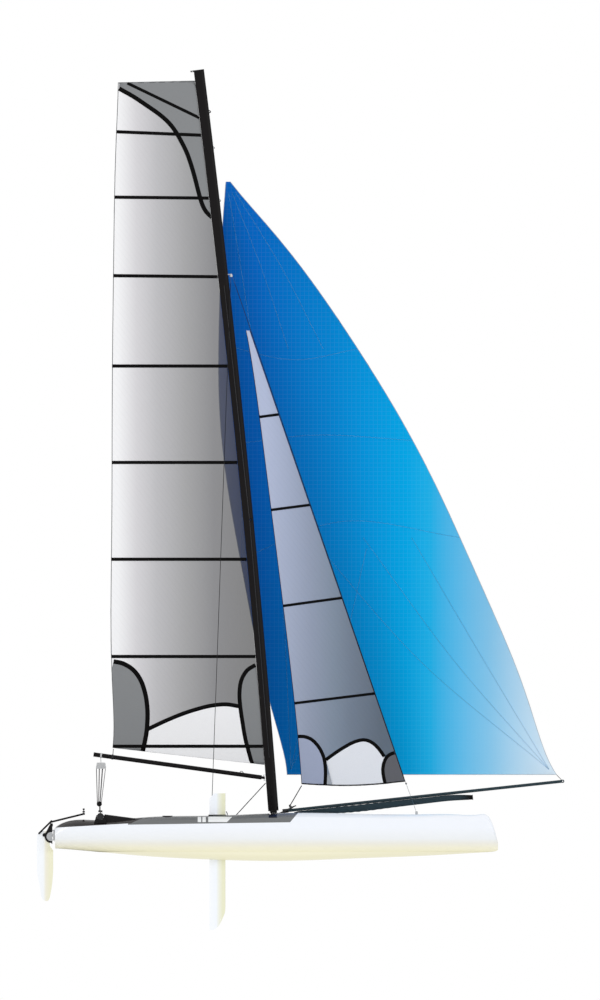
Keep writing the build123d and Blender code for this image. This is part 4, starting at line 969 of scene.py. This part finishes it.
# %% [markdown]
# ## Running rigging and small fittings
#
# Taut lines are thin rods of braid. The mainsheet goes six times between its two blocks, the
# jib sheet runs from the clew to its car, and a control line from the mast holds its turn.
# Diamond wires stiffen the mast sideways over the spreaders. Eye straps take the halyards,
# black covers sleeve the stays and a ribbed boot closes the gap under the mast. Each fairing
# is a sheet draped from its own crest to the deck, whose height a ray finds.

# %% Mainsheet and control lines
upper = [Vector(corner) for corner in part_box("mainsheet_upper_block")]
lower = [Vector(corner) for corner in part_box("mainsheet_lower_block")]
upper_x, lower_x = (upper[0].x + upper[1].x) / 2, (lower[0].x + lower[1].x) / 2
lower_z = (lower[0].z + lower[1].z) / 2
SHEAVE_PITCH, SHEAVE_RADIUS, LOWER_SHARE = 0.045, 0.019, 0.42
for i in range(6):
    offset = SHEAVE_PITCH * (i // 2 - 1) + (SHEAVE_RADIUS if i % 2 else -SHEAVE_RADIUS)
    slip = 0.005 * (i % 3 - 1)
    rope(f"mainsheet_fall_{i}", [(upper_x + offset, slip, upper[0].z + 0.03),
                                 (lower_x + offset * LOWER_SHARE, slip, lower_z + 0.012)],
         0.011, pale_cord if i % 3 else cord_finish, "boom")
rope("mast_control_line", [(-0.149, 0, 0.950), (-0.598, 0, 0.462)], 0.013, cord_finish,
     "mast")
rope("jib_clew_sheet", [(0.347, 0, 0.915), (0.187, 0, 0.640)], 0.014, cord_finish,
     "jib")


# %% Diamond wires and eye straps
def mast_edges(height):
    """The aft and fore edges and the half width of the mast at a height."""
    section = cut_points("mast", Vector((0, 0, height)), Vector((0, 0, 1)))
    return section[:, 0].min(), section[:, 0].max(), float(np.abs(section[:, 1]).max())


spread_low, spread_high = (Vector(corner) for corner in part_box("spreaders"))
tip_z = (spread_low.z + spread_high.z) / 2 + 0.005
for name, side in (("starboard", -1), ("port", 1)):
    line = []
    for height in (7.80, 1.30):
        aft, fore, half = mast_edges(height)
        line.append(((aft + fore) / 2, side * (half + 0.002), height))
    line.insert(1, (spread_low.x + 0.012, side * (spread_high.y - 0.006), tip_z))
    rope(f"diamond_wire_{name}", line, 0.005, wire_steel, "mast")
for i, (height, reach, thick) in enumerate(((10.194, 0.022, 0.016), (9.696, 0.016, 0.009),
                                            (8.969, 0.016, 0.009))):
    fore = mast_edges(height)[1] - 0.004
    rope(f"halyard_eye_{i}", [(fore, 0, height - 0.018), (fore + reach, 0, height - 0.006),
                              (fore + reach, 0, height + 0.006), (fore - 0.003, 0, height + 0.018)],
         thick, black_anodised, "mast")
rope("boom_eye", [(-0.505, 0, 1.096), (-0.490, 0, 1.112), (-0.470, 0, 1.109), (-0.455, 0, 1.089)],
     0.010, black_anodised, "boom")


# %% Wire covers and the mast's boot
def wire_centre(name, height):
    """The middle of a wire where a level plane cuts it."""
    section = cut_points(name, Vector((0, 0, height)), Vector((0, 0, 1)))
    return Vector(((section[:, 0].min() + section[:, 0].max()) / 2,
                   (section[:, 1].min() + section[:, 1].max()) / 2, height))


COVER_BARE = 0.09
for name in ("shroud_starboard", "shroud_port", "forestay"):
    low_z, high_z = (Vector(corner).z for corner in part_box(name))
    ends = [wire_centre(name, low_z + COVER_BARE), wire_centre(name, high_z - COVER_BARE)]
    rope(f"{name}_cover", ends, 0.0085, wire_cover, "root")
mast_foot_z = Vector(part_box("mast")[0]).z
BOOT_X = -0.042
BOOT_RINGS = [(0.046, 0.012), (0.050, 0.0), (0.050, -0.008), (0.046, -0.012), (0.050, -0.016),
              (0.046, -0.022), (0.030, -0.024)]


def boot_place(u, v):
    """A ribbed rubber gaiter round the ball under the mast."""
    radius, lift = (float(np.interp(v * (len(BOOT_RINGS) - 1), range(len(BOOT_RINGS)), column))
                    for column in zip(*BOOT_RINGS))
    turn = -2 * math.pi * u
    return Vector((BOOT_X + radius * math.cos(turn), radius * math.sin(turn), mast_foot_z + lift))


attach(bent_grid("mast_boot", 40, 24, boot_place, plastic, "black_plastic"), "mast")

# %% Deck fairings and board keepers
hull_trees = {}
for name in ("starboard", "port"):
    bm = bmesh.new()
    bm.from_mesh(nodes[f"hull_{name}"].data)
    hull_trees[name] = BVHTree.FromBMesh(bm)
    bm.free()
saddle_nose = Vector(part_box("rear_beam_saddles")[1]).x
HULL_MIDDLE = 1.395
FAIRING_NOSE, FAIRING_HALF, FAIRING_CREST = -1.945, 0.105, (0.519, 0.463)
for name, side in (("starboard", -1), ("port", 1)):
    middle = side * HULL_MIDDLE

    def fairing(u, v):
        x = saddle_nose + (FAIRING_NOSE - saddle_nose) * u - 0.030 * (1 - u)
        y = middle + (2 * v - 1) * FAIRING_HALF
        deck = hull_trees[name].ray_cast(Vector((x, y, 2)), Vector((0, 0, -1)))[0].z
        crest = FAIRING_CREST[0] + (FAIRING_CREST[1] - FAIRING_CREST[0]) * u
        lift = max(0.0, crest - deck) * math.sqrt(max(0.0, 1 - (2 * v - 1) ** 4))
        return Vector((x, y, deck + lift + 0.0005))

    piece = bent_grid(f"rear_fairing_{name}", 20, 16, fairing, plastic, "black_plastic")
    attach(piece, "root")
    loop = [(-0.672, middle - 0.012, 0.512), (-0.690, middle - 0.008, 0.556),
            (-0.690, middle + 0.008, 0.556), (-0.672, middle + 0.012, 0.512)]
    rope(f"board_keeper_{name}", loop, 0.012, cord_finish, "root")
print("rigging and fittings ready")
